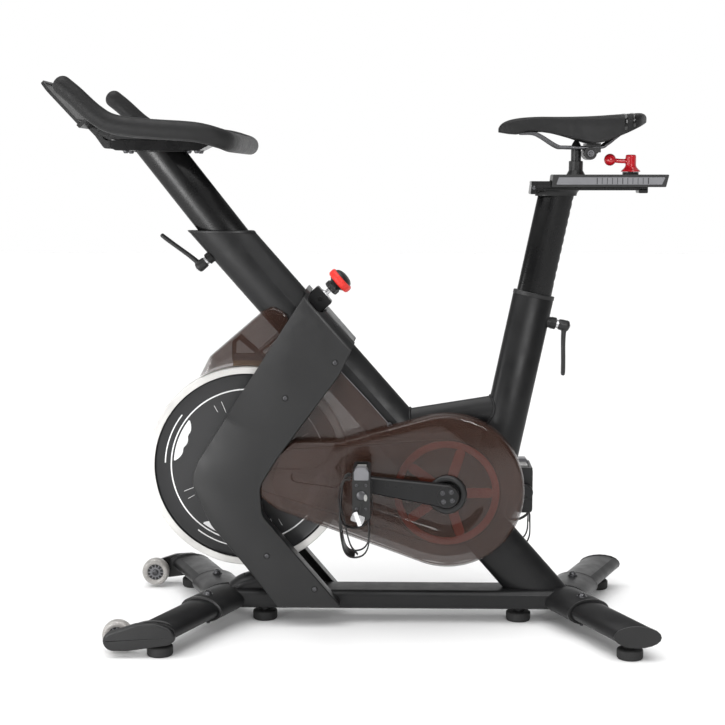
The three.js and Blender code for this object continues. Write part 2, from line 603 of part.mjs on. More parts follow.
// A fork cover: an open-backed shell, with a lip that closes over the top of the beam.
function forkCover(side) {
  const { innerY, outerY, wall } = COVER;
  const shell = cut(sideSlab(outline(COVER_OUTLINE), side, innerY, outerY),
    sideSlab(outline(COVER_OUTLINE, wall), side, innerY - 1, outerY - wall));
  const lipCorners = [[628, 58.5], [690, 58.5], [690, 61.5], [628, 61.5]].map(([u, n]) => {
    const place = onBeam(u - 40, n);
    return [place.x, place.z];
  });
  const lip = sideSlab(outline(lipCorners), side, GAP / 2, innerY + 2);
  return cut(join(shell, lip), guardBody(side, 1), baseBody(GAP));
}

function guard(side) {
  const { innerY, outerY, wall } = GUARD;
  const hollow = sideSlab(outline(GUARD_OUTLINE, wall), side, innerY - 1, outerY - wall);
  const crankHole = rod(GUARD.hole, point(CRANK.x, side * 50, CRANK.z), point(0, side, 0), 30, 24);
  const beltMouth = outline([[-210, 262], [-140, 262], [-140, 372], [-210, 372]]);
  return cut(guardBody(side, 0), hollow, crankHole,
    sideSlab(beltMouth, side, innerY - 1, outerY - wall));
}

// The flat inner plate behind a guard, which also fills the corner between the fork and the beam.
function shroud(side) {
  const corners = [[-172, 290, 10], [-150, 243, 10], [guardRight - 4, guardBottom, GUARD.radius - 7],
    [guardRight - 4, guardTop - 4, GUARD.radius - 7], [92, 413, 6], [66, 410, 0], [-62, 549, 6],
    [-118, 470, 20]];
  const hole = rod(BRACKET_SHELL.radius + 4, point(CRANK.x, side * 20, CRANK.z), point(0, side, 0), 30, 24);
  return cut(sideSlab(outline(corners), side, SHROUD.innerY, SHROUD.outerY), hole);
}

// The hood over the top of the flywheel: two sides and a sloping front, open below and behind.
function hood() {
  const corners = [[-318, 503, 0], [-296, 546, 14], [-190, 637, 8], [-169, 648, 12], [-138, 634, 14],
    [-128, 585, 0], [-130, 500, 0]];
  const { half, wall } = HOOD;
  const outer = slab(outline(corners), -half, half);
  const rearAndBelow = corners.map(([x, z, r]) => [x < -180 ? x : x + 60, z < 540 ? z - 60 : z, r]);
  const inner = slab(outline(rearAndBelow, wall), -half + wall, half - wall);
  const wheel = rod(FLYWHEEL.radius + 3.8, point(FLYWHEEL.x, -60, FLYWHEEL.z), ACROSS, 120, 48);
  return cut(outer, inner, wheel, beamBody(GAP));
}

for (const [sideName, side] of Object.entries(SIDES)) {
  add(`fork_leg_${sideName}`, 'framePaint', forkLeg(side));
  add(`fork_cover_${sideName}`, 'blackPlastic', forkCover(side));
  add(`guard_${sideName}`, 'smokedPlastic', guard(side));
  add(`inner_shroud_${sideName}`, 'smokedPlastic', shroud(side));
}
add('hood', 'smokedPlastic', hood());

// ---------------------------------------------------------------- brake and its knob

// Pieces about the brake rod are built along +Z, with their heights measured from the beam's centreline.
const onBrakeRod = (geometry) => orient(geometry, onBeam(BRAKE.u, 0), BEAM_NORMAL);

function knobHousing() {
  const block = orient(box(-22, 22, -16, 16, 40, 80), onBeam(BRAKE.u, 0), BEAM_NORMAL);
  return cut(block, beamBody(GAP), rod(BRAKE.rod + GAP, onBeam(BRAKE.u, 30), BEAM_NORMAL, 60, 16));
}

const BRAKE_ROD_TIP = -107.6;

function brakeRod() {
  return onBrakeRod(turned([[0, BRAKE_ROD_TIP], [BRAKE.rod, BRAKE_ROD_TIP], [BRAKE.rod, 104], [0, 104]], 16));
}

function brakeKnob() {
  const bore = BRAKE.rod + GAP;
  const profile = [[0, 104 + GAP], [bore, 104 + GAP], [bore, 86], [14, 86], [16, 90], [16, 99], [20, 107],
    [22, 109], [22, 121], [20, 125], [12, 129], [0, 130.5]];
  return onBrakeRod(turned(profile, 20));
}

function knobRing() {
  const inner = 22 + GAP;
  const profile = [[inner, 109], [24.5, 109], [26.5, 112], [26.5, 118], [24.5, 121], [inner, 121]];
  return onBrakeRod(ring(profile, 20));
}

// A pivoted arm over the flywheel. The rod pushes its bar, and the bar carries the felt pad.
function brakeArm() {
  const { half } = BRAKE;
  const pivotX = brakePivot.x;
  const pivotZ = brakePivot.z;
  const barrel = rod(8, point(pivotX, -9, pivotZ), ACROSS, 18, 16);
  const pushBar = slab(outline([[-252, 537], [-187, 537], [pivotX, pivotZ - 5], [pivotX, pivotZ + 5],
    [-187, 547], [-252, 547]]), -9, 9);
  const shoe = slab(outline([[-252, 537], [-187, 537], [-187, 543], [-252, 543]]), -half, half);
  const frame = outline([[-252, 540], [-187, 540], [-187, 546], [-236, 588], [-241, 584], [-252, 575]]);
  const window = outline([[-246, 549], [-202, 549], [-237, 579], [-246, 571]]);
  const cheeks = [-1, 1].map((side) => cut(sideSlab(frame, side, half - 3, half),
    sideSlab(window, side, 0, half + 5)));
  const pinHole = rod(BRAKE.pin + GAP, point(pivotX, -20, pivotZ), ACROSS, 40, 12);
  return cut(join(pushBar, barrel, shoe, ...cheeks), pinHole);
}

function brakePad() {
  const block = slab(outline([[-250, 515], [-189, 515], [-189, 537 - GAP], [-250, 537 - GAP]]),
    -BRAKE.half, BRAKE.half);
  const wheel = rod(FLYWHEEL.radius + BRAKE.padGap, point(FLYWHEEL.x, -60, FLYWHEEL.z), ACROSS, 120, 64);
  return cut(block, wheel);
}

add('knob_housing', 'framePaint', knobHousing());
add('brake_rod', 'steel', brakeRod());
add('brake_knob', 'blackPlastic', brakeKnob());
add('knob_ring', 'redPlastic', knobRing());
add('brake_arm', 'steel', brakeArm());
add('brake_pad', 'felt', brakePad());

// ---------------------------------------------------------------- clamp levers

// An L-shaped clamp lever: screw, hub and handle. The screw runs back into the tube from origin.
function clampLever(origin, out, handleAlong, handleLength) {
  const screw = rod(CLAMP_SCREW.radius, origin, out, 34, 16);
  const collar = rod(9, origin.clone().addScaledVector(out, 20), out, 6, 16);
  const hubCentre = origin.clone().addScaledVector(out, 26);
  const hub = rod(11, hubCentre, out, 22, 16);
  const across = handleAlong.clone().addScaledVector(out, -handleAlong.dot(out)).normalize();
  const start = hubCentre.clone().addScaledVector(out, 12);
  const lean = across.clone().multiplyScalar(Math.cos(rad(10))).addScaledVector(out, Math.sin(rad(10)));
  const handle = bar(ellipse(15, 10, 12), start, lean, handleLength);
  return join(screw, collar, hub, handle);
}

add('clamp_lever_front', 'blackPlastic',
  clampLever(onBeam(CLAMP_SCREW.beamU, -39), BEAM_NORMAL.clone().negate(), BEAM_UP, 98));
add('clamp_lever_seat', 'blackPlastic',
  clampLever(onSeatTube(CLAMP_SCREW.seatDown, 36), SEAT_BACK, SEAT_UP.clone().negate(), 98));

// ---------------------------------------------------------------- handlebar

const postAt = (z) => point(POST.mouthX - (z - BEAM.mouthZ) / Math.tan(rad(POST.slope)), 0, z);

// The post, and the flat box welded to its top, which the handlebar is screwed to.
function handlebarPost() {
  const start = postAt(BEAM.mouthZ).addScaledVector(POST_UP, -POST.inside);
  const tube = ovalTube(POST.width, POST.thickness, POST.wall, start, POST_UP, 340);
  const below = common(tube, box(-700, 0, -60, 60, 600, POST.topZ + 2));
  const { frontX, rearX, half, bottomZ, topZ } = BAR_PLATE;
  const plate = slab(outline([[frontX, topZ, 2], [frontX + 3, bottomZ + 4, 4], [frontX + 12, bottomZ, 4],
    [rearX - 20, bottomZ, 8], [rearX, topZ - 10, 3], [rearX, topZ, 2]]), -half, half);
  return join(below, plate);
}

// The moulded handlebar: one closed U of side bars with raised horns, and a flat middle.
function handlebar() {
  const half = [[-530, 250, 1069], [-508, 252, 1051], [-470, 254, 1017], [-436, 255, 999],
    [-375, 255, 991], [-290, 252, 985], [-246, 236, 974], [-232, 200, 968], [-229, 120, 967]];
  const left = half.map(([x, y, z]) => point(x, -y, z));
  const right = half.map(([x, y, z]) => point(x, y, z)).reverse();
  const path = new THREE.CatmullRomCurve3([...left, ...right], false, 'centripetal');
  const section = new THREE.Shape(ellipse(31, 31, 10));
  const tube = new THREE.ExtrudeGeometry(section, { extrudePath: path, steps: 44, bevelEnabled: false });
  const tips = Object.values(SIDES).map((side) => new THREE.SphereGeometry(15.4, 10, 6)
    .translate(-530, side * 250, 1069));
  const frontCross = bar(ellipse(30, 44, 10), point(-430, -252, 996), ACROSS, 504, point(1, 0, 0));
  const middle = slab(outline([[-484, 976, 4], [-484, 990, 6], [-440, 1006, 8], [-236, 984, 6],
    [-214, 968, 6], [-236, 960, 5], [-288, 976, 0]]), -62, 62);
  const under = box(BAR_PLATE.frontX - 2, BAR_PLATE.rearX + 2, -70, 70, 940, BAR_PLATE.topZ + GAP);
  return cut(join(tube, ...tips, frontCross, middle), under);
}

// The tray for a tablet or book: a leaning plate with a lip, on a bent bracket.
function mediaHolder() {
  const plate = slab(outline([[-612, 1086, 2], [-606, 1092, 2], [-527, 1006, 0], [-531, 1000, 0]]),
    -118, 118);
  const lip = slab(outline([[-534, 1002, 0], [-528, 996, 2], [-512, 1010, 2], [-516, 1014, 2]]), -118, 118);
  const bracket = slab(outline([[-531, 1000, 0], [-526, 1003, 0], [-508, 994, 6], [-494, 974, 8],
    [-485.3, 974, 0], [-485.3, 966, 0], [-500, 966, 8], [-514, 985, 8]]), -40, 40);
  return join(plate, lip, bracket);
}

add('handlebar_post', 'glossPaint', handlebarPost());
add('handlebar', 'foam', handlebar());
add('media_holder', 'blackPlastic', mediaHolder());

// ---------------------------------------------------------------- seat post and slider

const seatPostAt = (z) => SEAT_TOP.clone().addScaledVector(SEAT_UP, (z - SEAT_TUBE.topZ) / SEAT_UP.z);

// The seat post, with the fixed rail of the fore-and-aft slider welded to its top.
function seatPost() {
  const tube = ovalTube(SEAT_POST.width, SEAT_POST.thickness, SEAT_POST.wall,
    onSeatTube(SEAT_POST.inside, 0), SEAT_UP, 380);
  const below = common(tube, box(200, 600, -60, 60, 400, RAIL.bottomZ + 3));
  const top = seatPostAt(SEAT_POST.topZ);
  const collar = bar(ellipse(82, 44), top, UP, RAIL.bottomZ - SEAT_POST.topZ + 2);
  const { frontX, rearX, half, bottomZ, topZ } = RAIL;
  const rail = box(frontX + 2, rearX, -half, half, bottomZ, topZ);
  const frontBlock = slab(outline([[frontX, 869.5, 2], [frontX + 12, 869.5, 2], [frontX + 13, topZ, 2],
    [frontX + 3, topZ, 2]]), -half - 4, half + 4);
  const rearBlock = box(rearX - 18, rearX, -half, half, 871.5, bottomZ + 1);
  return join(below, collar, rail, frontBlock, rearBlock);
}

// The moving carriage over the rail, with the seat pin and the base of its clamp lever.
function carriage() {
  const { frontX, rearX, half, bottomZ, topZ } = CARRIAGE;
  const body = slab(outline([[frontX - 2, bottomZ, 2], [rearX - 6, bottomZ, 2], [rearX, topZ, 2],
    [frontX + 1, topZ, 3]]), -half, half);
  const channel = box(frontX - 20, rearX + 20, -half + 4.5, half - 4.5, bottomZ - 10, RAIL.topZ + 1.5);
  const pin = turned([[0, topZ - 1], [19, topZ - 1], [14, topZ + 8], [14, topZ + 26], [PIN.radius, topZ + 27],
    [PIN.radius, PIN.topZ - 13], [8, PIN.topZ - 8], [3, PIN.topZ], [0, PIN.topZ]], 20).translate(PIN.x, 0, 0);
  const leverBase = rod(16, point(LEVER.x, 0, topZ - 1), UP, 6);
  const screw = rod(LEVER.screw, point(LEVER.x, 0, topZ), UP, 16, 16);
  return join(cut(body, channel), pin, leverBase, screw);
}

// The slider's clamp lever: a flared hub with a ball on a short arm.
function slideLever() {
  const base = CARRIAGE.topZ + 5 + GAP;
  const { x, screw, hub, ball, reach, z } = LEVER;
  const bore = screw + GAP;
  const hubPiece = turned([[bore, base], [19.5, base], [19.5, base + 2], [12, base + 9], [hub, base + 12],
    [hub, base + 31], [hub - 2, base + 33], [0, base + 33], [0, base + 14], [bore, base + 14],
    [bore, base]], 16).translate(x, 0, 0);
  const arm = rod(4.5, point(x - 8, 0, z - 3), point(-1, 0, 0), reach - 8, 12);
  const knob = new THREE.SphereGeometry(ball, 12, 8).translate(x - reach, 0, z);
  return join(hubPiece, arm, knob);
}

add('seat_post', 'glossPaint', seatPost());
add('slider_carriage', 'blackPlastic', carriage());
add('slide_lever', 'redPlastic', slideLever());

// ---------------------------------------------------------------- saddle

const RAIL_PATH = [[318, 989.5], [346, 988.5], [362, 983], [392, 963], [410, RAIL_WIRE.z], [474, RAIL_WIRE.z],
  [490, 968], [506, 981], [520, 989.5]];

function railWire(side, grow = 0) {
  const spread = (x) => side * (x < 400 ? RAIL_WIRE.y - ((400 - x) / 82) * 13 : RAIL_WIRE.y);
  const path = new THREE.CatmullRomCurve3(RAIL_PATH.map(([x, z]) => point(x, spread(x), z)), false,
    'centripetal');
  const section = new THREE.Shape(ellipse(2 * (RAIL_WIRE.radius + grow), 2 * (RAIL_WIRE.radius + grow), 8));
  return new THREE.ExtrudeGeometry(section, { extrudePath: path, steps: 18, bevelEnabled: false });
}

// The moulded shell under the padding, with its two steel rails.
function saddleBase() {
  const plate = slab(outline([[300, 989], [552, 989], [556, 993.5], [300, 993.5]]), -60, 60);
  const plan = new THREE.ExtrudeGeometry(new THREE.Shape(outline([[302, -14, 6], [420, -20, 40],
    [480, -38, 30], [552, -38, 12], [552, 38, 12], [480, 38, 30], [420, 20, 40], [302, 14, 6]])),
  { depth: 60, bevelEnabled: false }).translate(0, 0, 950);
  return join(common(plate, plan), railWire(-1), railWire(1));
}

// The padding: a long nose, a hollow underneath, and a broad tail.
function saddlePad() {
  const side = slab(outline([[277, 989, 4], [281, 1008, 12], [316, 1018.5, 30], [362, 1021.5, 0],
    [413, 1021, 0], [477, 1022, 0], [561, 1027, 8], [569, 1012, 8], [522, 986, 10], [470, 966, 14],
    [416, 980, 20], [385, 988, 0], [354, 992, 0], [329, 992, 4], [320, 986, 4]]), -90, 90);
  const plan = new THREE.ExtrudeGeometry(new THREE.Shape(outline([[276, -18, 17], [390, -22, 60],
    [460, -68, 60], [540, -78, 40], [570, -60, 30], [570, 60, 30], [540, 78, 40], [460, 68, 60],
    [390, 22, 60], [276, 18, 17]])), { depth: 80, bevelEnabled: false }).translate(0, 0, 955);
  const hollow = new THREE.ExtrudeGeometry(new THREE.Shape(outline([[300, -15, 6], [420, -21, 40],
    [480, -39, 30], [553, -39, 12], [553, 39, 12], [480, 39, 30], [420, 21, 40], [300, 15, 6]])),
  { depth: 44, bevelEnabled: false }).translate(0, 0, 950);
  return cut(common(side, plan), hollow);
}

// The clamp: a round boss on the tilt axis, a neck between the rails, and a jaw above and below them.
function saddleClamp() {
  const { x, z, radius, half } = CLAMP;
  const boss = rod(radius, point(x, -half, z), ACROSS, 2 * half, 20);
  const neck = box(x - 8, x + 16, -17, 17, z, RAIL_WIRE.z + 8);
  const lowerJaw = box(x - 8, x + 20, -28, 28, z + 2, RAIL_WIRE.z - 1);
  const upperJaw = box(x - 8, x + 20, -28, 28, RAIL_WIRE.z + 1, RAIL_WIRE.z + 8);
  return cut(join(boss, neck, lowerJaw, upperJaw), railWire(-1, GAP), railWire(1, GAP));
}

add('saddle_clamp', 'blackPlastic', saddleClamp());
add('saddle_base', 'steel', saddleBase());
add('saddle', 'foam', saddlePad());

export default bike;
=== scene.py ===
import math

import bmesh
import bpy
from mathutils import Matrix, Vector, noise


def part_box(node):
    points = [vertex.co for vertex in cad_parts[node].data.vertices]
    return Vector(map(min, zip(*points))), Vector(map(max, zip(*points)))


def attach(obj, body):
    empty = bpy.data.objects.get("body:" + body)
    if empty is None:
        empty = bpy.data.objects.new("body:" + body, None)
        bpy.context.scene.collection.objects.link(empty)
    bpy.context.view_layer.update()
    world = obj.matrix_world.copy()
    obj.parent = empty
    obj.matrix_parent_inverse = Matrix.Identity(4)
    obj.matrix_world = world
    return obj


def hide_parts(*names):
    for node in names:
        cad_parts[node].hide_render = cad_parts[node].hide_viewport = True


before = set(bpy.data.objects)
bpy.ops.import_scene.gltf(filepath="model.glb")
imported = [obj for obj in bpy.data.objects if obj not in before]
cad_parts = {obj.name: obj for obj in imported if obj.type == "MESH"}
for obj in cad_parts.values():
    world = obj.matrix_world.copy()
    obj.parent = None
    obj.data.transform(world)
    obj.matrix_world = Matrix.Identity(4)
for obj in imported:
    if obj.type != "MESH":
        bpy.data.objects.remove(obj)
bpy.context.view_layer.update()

# Lengths are in millimetres until a mesh is made.
MM = 0.001
TAU = 2 * math.pi
ACROSS = Vector((0, 1, 0))
UP = Vector((0, 0, 1))
SIDES = {"left": -1, "right": 1}
rad = math.radians


def direction(angle):
    """A direction in the side plane, that many degrees above +X."""
    return Vector((math.cos(rad(angle)), 0, math.sin(rad(angle))))


def middle(node):
    low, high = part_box(node)
    return (Vector(low) + Vector(high)) / (2 * MM)


BEAM_UP = direction(180 - 48.83)
BEAM_NORMAL = direction(90 - 48.83)
POST_UP = direction(180 - 52)
SEAT_UP = direction(90 - 11.8)
SEAT_BACK = direction(-11.8)
FLYWHEEL = Vector((middle("flywheel").x, 0, middle("flywheel").z))
CRANK = Vector((middle("drive_pulley").x, 0, middle("drive_pulley").z))


def on_beam(u, n, y=0):
    return Vector((341.75, y, 94)) + BEAM_UP * u + BEAM_NORMAL * n


def on_seat_tube(down, back, y=0):
    return Vector((352.5, y, 670)) - SEAT_UP * down + SEAT_BACK * back


# ---------------------------------------------------------------- shapes


def basis(origin, axis, across=ACROSS):
    """The matrix that turns +Z to axis and +Y to across, and moves the result to origin."""
    z = Vector(axis).normalized()
    x = Vector(across).cross(z).normalized()
    y = z.cross(x)
    m = Matrix((x, y, z)).transposed().to_4x4()
    m.translation = Vector(origin)
    return m


def facing(origin, axis):
    """The same for an axis in any direction: across is +Z for a crosswise axis and +Y for the others."""
    return basis(origin, axis, UP if abs(Vector(axis).normalized().y) > 0.9 else ACROSS)


def placed(verts, faces, m):
    return ([m @ v for v in verts] if m else verts, faces)


def skinned(rings, closed=False):
    """A skin over rings of points. A ring of one point is a tip."""
    verts, index = [], []
    for ring in rings:
        index.append(range(len(verts), len(verts) + len(ring)))
        verts.extend(Vector(p) for p in ring)
    count = max(len(ring) for ring in rings)
    faces = []
    following = index[1:] + ([index[0]] if closed else [])
    for a, b in zip(index, following):
        for i in range(count):
            j = (i + 1) % count
            face = [a[i % len(a)], a[j % len(a)], b[j % len(b)], b[i % len(b)]]
            face = list(dict.fromkeys(face))
            if len(face) > 2:
                faces.append(face)
    if not closed:
        faces += [list(ring) for ring in (index[0], index[-1]) if len(ring) > 2]
    return verts, faces


def lathe(profile, segs=48, m=None):
    """A turned shape about +Z. A radius may be a function of the angle."""
    ring_shaped = profile[0] == profile[-1]
    rings = []
    for r, h in profile[:-1] if ring_shaped else profile:
        if r == 0:
            rings.append([Vector((0, 0, h))])
            continue
        angles = [TAU * i / segs for i in range(segs)]
        radii = [r(a) if callable(r) else r for a in angles]
        rings.append([Vector((q * math.cos(a), q * math.sin(a), h)) for a, q in zip(angles, radii)])
    return placed(*skinned(rings, ring_shaped), m)


def hexagon(across_flats):
    """The radius of a hexagon at an angle."""
    return lambda a: across_flats / 2 / math.cos((a % (TAU / 6)) - TAU / 12)


def outline(corners, inset=0.0, step=rad(7)):
    """A closed outline through corners (x, y, radius), each rounded, moved inwards by inset."""
    pts = [Vector(c[:2]) for c in corners]
    n = len(pts)
    area = sum(a.x * b.y - b.x * a.y for a, b in zip(pts, pts[1:] + pts[:1]))
    winding = 1 if area > 0 else -1
    edges = [(pts[(i + 1) % n] - p).normalized() for i, p in enumerate(pts)]
    inward = [Vector((-e.y, e.x)) * winding for e in edges]
    result = []
    for i, corner in enumerate(pts):
        before, after = edges[i - 1], edges[i]
        moved = corner + (inward[i - 1] + inward[i]) * (inset / (1 + inward[i - 1].dot(inward[i])))
        turn = math.atan2(before.x * after.y - before.y * after.x, before.dot(after))
        given = corners[i][2] if len(corners[i]) > 2 else 0
        radius = given + (-inset if turn * winding > 0 else inset)
        if not given:
            result.append(moved)
            continue
        radius = max(radius, 0.06)
        start = moved - before * (radius * math.tan(abs(turn) / 2))
        side = 1 if turn > 0 else -1
        centre = start + Vector((-before.y, before.x)) * (side * radius)
        steps = max(2, math.ceil(abs(turn) / step))
        for k in range(steps + 1):
            result.append(centre + Matrix.Rotation(turn * k / steps, 2) @ (start - centre))
    return result


def loop_round(a, b, step=rad(6)):
    """The loop round two circles (x, y, radius)."""
    along = Vector((b[0] - a[0], b[1] - a[1]))
    heading = math.atan2(along.y, along.x)
    lean = math.acos((a[2] - b[2]) / along.length)

    def arc(c, start, end):
        steps = math.ceil(abs(end - start) / step)
        angles = [start + (end - start) * k / steps for k in range(steps + 1)]
        return [Vector((c[0] + c[2] * math.cos(t), c[1] + c[2] * math.sin(t))) for t in angles]

    return arc(a, heading + lean, heading + TAU - lean) + arc(b, heading - lean, heading + lean)


def slab(points, y0, y1):
    """A side-plane outline extruded across the bike."""
    return skinned([[Vector((p[0], y, p[1])) for p in points] for y in (y0, y1)])


def side_slab(points, side, a, b):
    """The same between two distances from the bike's middle, on one side of it."""
    return slab(points, *sorted((side * a, side * b)))


def layered(rings):
    """A loft over side-plane outlines with the same number of points: [(points, y), ...]."""
    return skinned([[Vector((p[0], y, p[1])) for p in points] for points, y in rings])


def plate(points, thickness, m):
    """An outline extruded along +Z of the matrix."""
    return placed(*skinned([[Vector((p[0], p[1], z)) for p in points] for z in (0, thickness)]), m)


def spline(points, steps):
    """A smooth curve through points."""
    pts = [Vector(p) for p in points]
    ends = [2 * pts[0] - pts[1]] + pts + [2 * pts[-1] - pts[-2]]
    out = []
    for i in range(1, len(ends) - 2):
        p0, p1, p2, p3 = ends[i - 1:i + 3]
        for k in range(steps):
            t = k / steps
            out.append(0.5 * ((2 * p1) + (p2 - p0) * t + (2 * p0 - 5 * p1 + 4 * p2 - p3) * t * t
                              + (3 * p1 - p0 - 3 * p2 + p3) * t ** 3))
    return out + [pts[-1]]


def sweep(path, section, closed=False, up=ACROSS, rounded=0):
    """A section of (x, y) points swept along a path. rounded closes the ends with domes of that radius."""
    path = [Vector(p) for p in path]
    n = len(path)
    normal = None
    frames = []
    for i, p in enumerate(path):
        before = path[i - 1] if i or closed else p
        after = path[(i + 1) % n] if i < n - 1 or closed else p
        tangent = (after - before).normalized()
        normal = (normal or Vector(up)) - tangent * (normal or Vector(up)).dot(tangent)
        normal.normalize()
        frames.append((p, tangent, normal.copy(), tangent.cross(normal)))

    def ring(frame_at, scale=1.0, shift=0.0):
        p, tangent, a, b = frame_at
        return [p + tangent * shift + a * (q[0] * scale) + b * (q[1] * scale) for q in section]

    rings = [ring(f) for f in frames]
    if rounded:
        bulge = [rad(15 * k) for k in range(1, 6)]
        start = [ring(frames[0], math.cos(t), -rounded * math.sin(t)) for t in bulge]
        end = [ring(frames[-1], math.cos(t), rounded * math.sin(t)) for t in bulge]
        tips = [[f[0] + f[1] * s] for f, s in ((frames[0], -rounded), (frames[-1], rounded))]
        rings = [tips[0]] + start[::-1] + rings + end + [tips[1]]
    return skinned(rings, closed)


def ellipse(width, height, sides=24):
    turns = [TAU * i / sides for i in range(sides)]
    return [(width / 2 * math.cos(t), height / 2 * math.sin(t)) for t in turns]


def rectangle(width, height, radius):
    x, y = width / 2, height / 2
    return [tuple(p) for p in outline([(-x, -y, radius), (x, -y, radius), (x, y, radius), (-x, y, radius)],
                                      step=rad(30))]


def box_corners(x0, x1, z0, z1, radius=0):
    return [(x0, z0, radius), (x1, z0, radius), (x1, z1, radius), (x0, z1, radius)]


def ball(centre, radius, segs=32):
    rows = 12
    profile = [(0, -radius)]
    profile += [(radius * math.cos(t), radius * math.sin(t))
                for t in (rad(-90 + 180 * k / rows) for k in range(1, rows))]
    return lathe(profile + [(0, radius)], segs, Matrix.Translation(Vector(centre)))


def rod(radius, start, axis, length):
    """A round bar with chamfered ends."""
    c = min(0.6, radius * 0.2)
    profile = [(0, 0), (radius - c, 0), (radius, c), (radius, length - c), (radius - c, length), (0, length)]
    return lathe(profile, 32, facing(start, axis))


# ---------------------------------------------------------------- materials


class Graph:
    """A short way to wire a material's nodes."""

    def __init__(self, name):
        self.material = bpy.data.materials.new(name)
        self.material.use_nodes = True
        self.tree = self.material.node_tree
        self.shader = self.tree.nodes["Principled BSDF"]
        self.where = self.node("ShaderNodeTexCoord").outputs["Object"]

    def node(self, kind, **settings):
        made = self.tree.nodes.new(kind)
        for key, value in settings.items():
            setattr(made, key, value)
        return made

    def link(self, a, b):
        self.tree.links.new(a, b)

    def noise(self, scale, detail=4.0, stretch=None):
        made = self.node("ShaderNodeTexNoise")
        made.inputs["Scale"].default_value = scale
        made.inputs["Detail"].default_value = detail
        where = self.where
        if stretch:
            mapping = self.node("ShaderNodeMapping")
            mapping.inputs["Scale"].default_value = stretch
            self.link(where, mapping.inputs["Vector"])
            where = mapping.outputs["Vector"]
        self.link(where, made.inputs["Vector"])
        return made.outputs["Fac"]

    def cells(self, scale, feature="F1"):
        made = self.node("ShaderNodeTexVoronoi", feature=feature)
        made.inputs["Scale"].default_value = scale
        self.link(self.where, made.inputs["Vector"])
        return made.outputs["Distance"]

    def ranged(self, value, low, high, from_low=0.3, from_high=0.7):
        made = self.node("ShaderNodeMapRange")
        self.link(value, made.inputs["Value"])
        for name, v in (("From Min", from_low), ("From Max", from_high), ("To Min", low), ("To Max", high)):
            made.inputs[name].default_value = v
        return made.outputs["Result"]

    def blended(self, factor, a, b):
        made = self.node("ShaderNodeMix", data_type="RGBA")
        self.link(factor, made.inputs["Factor"])
        for socket, colour in ((made.inputs[6], a), (made.inputs[7], b)):
            if hasattr(colour, "links"):
                self.link(colour, socket)
            else:
                socket.default_value = (*colour, 1)
        return made.outputs[2]

    def bumps(self, *layers):
        """Bumps in turn: (height, strength, distance in metres)."""
        normal = None
        for height, strength, distance in layers:
            made = self.node("ShaderNodeBump")
            made.inputs["Strength"].default_value = strength
            made.inputs["Distance"].default_value = distance
            self.link(height, made.inputs["Height"])
            if normal:
                self.link(normal, made.inputs["Normal"])
            normal = made.outputs["Normal"]
        self.link(normal, self.shader.inputs["Normal"])

    def set(self, **values):
        for key, value in values.items():
            socket = self.shader.inputs[key.replace("_", " ")]
            if hasattr(value, "links"):
                self.link(value, socket)
            elif isinstance(value, tuple):
                socket.default_value = (*value, 1)
            else:
                socket.default_value = value


def shade(colour, share):
    return tuple(min(1, c * share) for c in colour)


def scuffed(g, base, worn, amount=0.6):
    """A colour with soft patches and a few faint rub marks."""
    patches = g.ranged(g.noise(9, 3), 0, 1, 0.38, 0.62)
    soft = g.blended(patches, shade(base, 0.86), shade(base, 1.14))
    marks = g.ranged(g.noise(60, 6, (1, 1, 7)), 0, amount, 0.66, 0.78)
    return g.blended(marks, soft, worn)


def powder_coat(name, colour, rough):
    g = Graph(name)
    g.set(Base_Color=scuffed(g, colour, shade(colour, 1.9)), Metallic=0.0,
          Roughness=g.ranged(g.noise(35, 5), rough - 0.05, rough + 0.06), Specular_IOR_Level=0.27)
    g.bumps((g.noise(900, 3), 0.22, 0.00012), (g.noise(120, 2), 0.08, 0.0004))
    return g.material


def gloss_coat(name, colour):
    g = Graph(name)
    g.set(Base_Color=scuffed(g, colour, shade(colour, 1.7), 0.3), Metallic=0.0,
          Roughness=g.ranged(g.noise(28, 4), 0.24, 0.32), Coat_Weight=0.12, Coat_Roughness=0.2,
          Specular_IOR_Level=0.24)
    g.bumps((g.noise(260, 2), 0.06, 0.0002), (g.noise(1400, 2), 0.1, 0.00005))
    return g.material


def moulded(name, colour, rough, grain=1500, depth=0.00015, coat=0.0):
    g = Graph(name)
    g.set(Base_Color=scuffed(g, colour, tuple(min(1, c * 1.5 + 0.01) for c in colour), 0.35),
          Roughness=g.ranged(g.noise(50, 4), rough - 0.05, rough + 0.06), Coat_Weight=coat,
          Specular_IOR_Level=0.38)
    g.bumps((g.cells(grain), 0.25, depth), (g.noise(grain * 1.7, 2), 0.15, depth * 0.7))
    return g.material


def smoked(name, colour, alpha):
    g = Graph(name)
    cloudy = g.ranged(g.noise(6, 3), 0, 1, 0.35, 0.65)
    g.set(Base_Color=g.blended(cloudy, shade(colour, 0.86), shade(colour, 1.15)),
          Roughness=g.ranged(g.noise(18, 4), 0.10, 0.17), Alpha=alpha, Coat_Weight=0.4, Coat_Roughness=0.05,
          Specular_IOR_Level=0.4)
    g.bumps((g.noise(14, 2), 0.04, 0.002))
    return g.material


def metal(name, colour, rough, brushed=(1, 1, 1)):
    g = Graph(name)
    grain = g.noise(420, 5, brushed)
    g.set(Base_Color=g.blended(g.ranged(g.noise(22, 4), 0, 1), shade(colour, 0.85), colour),
          Metallic=1.0, Roughness=g.ranged(grain, rough - 0.06, rough + 0.1))
    g.bumps((grain, 0.3, 0.00004))
    return g.material


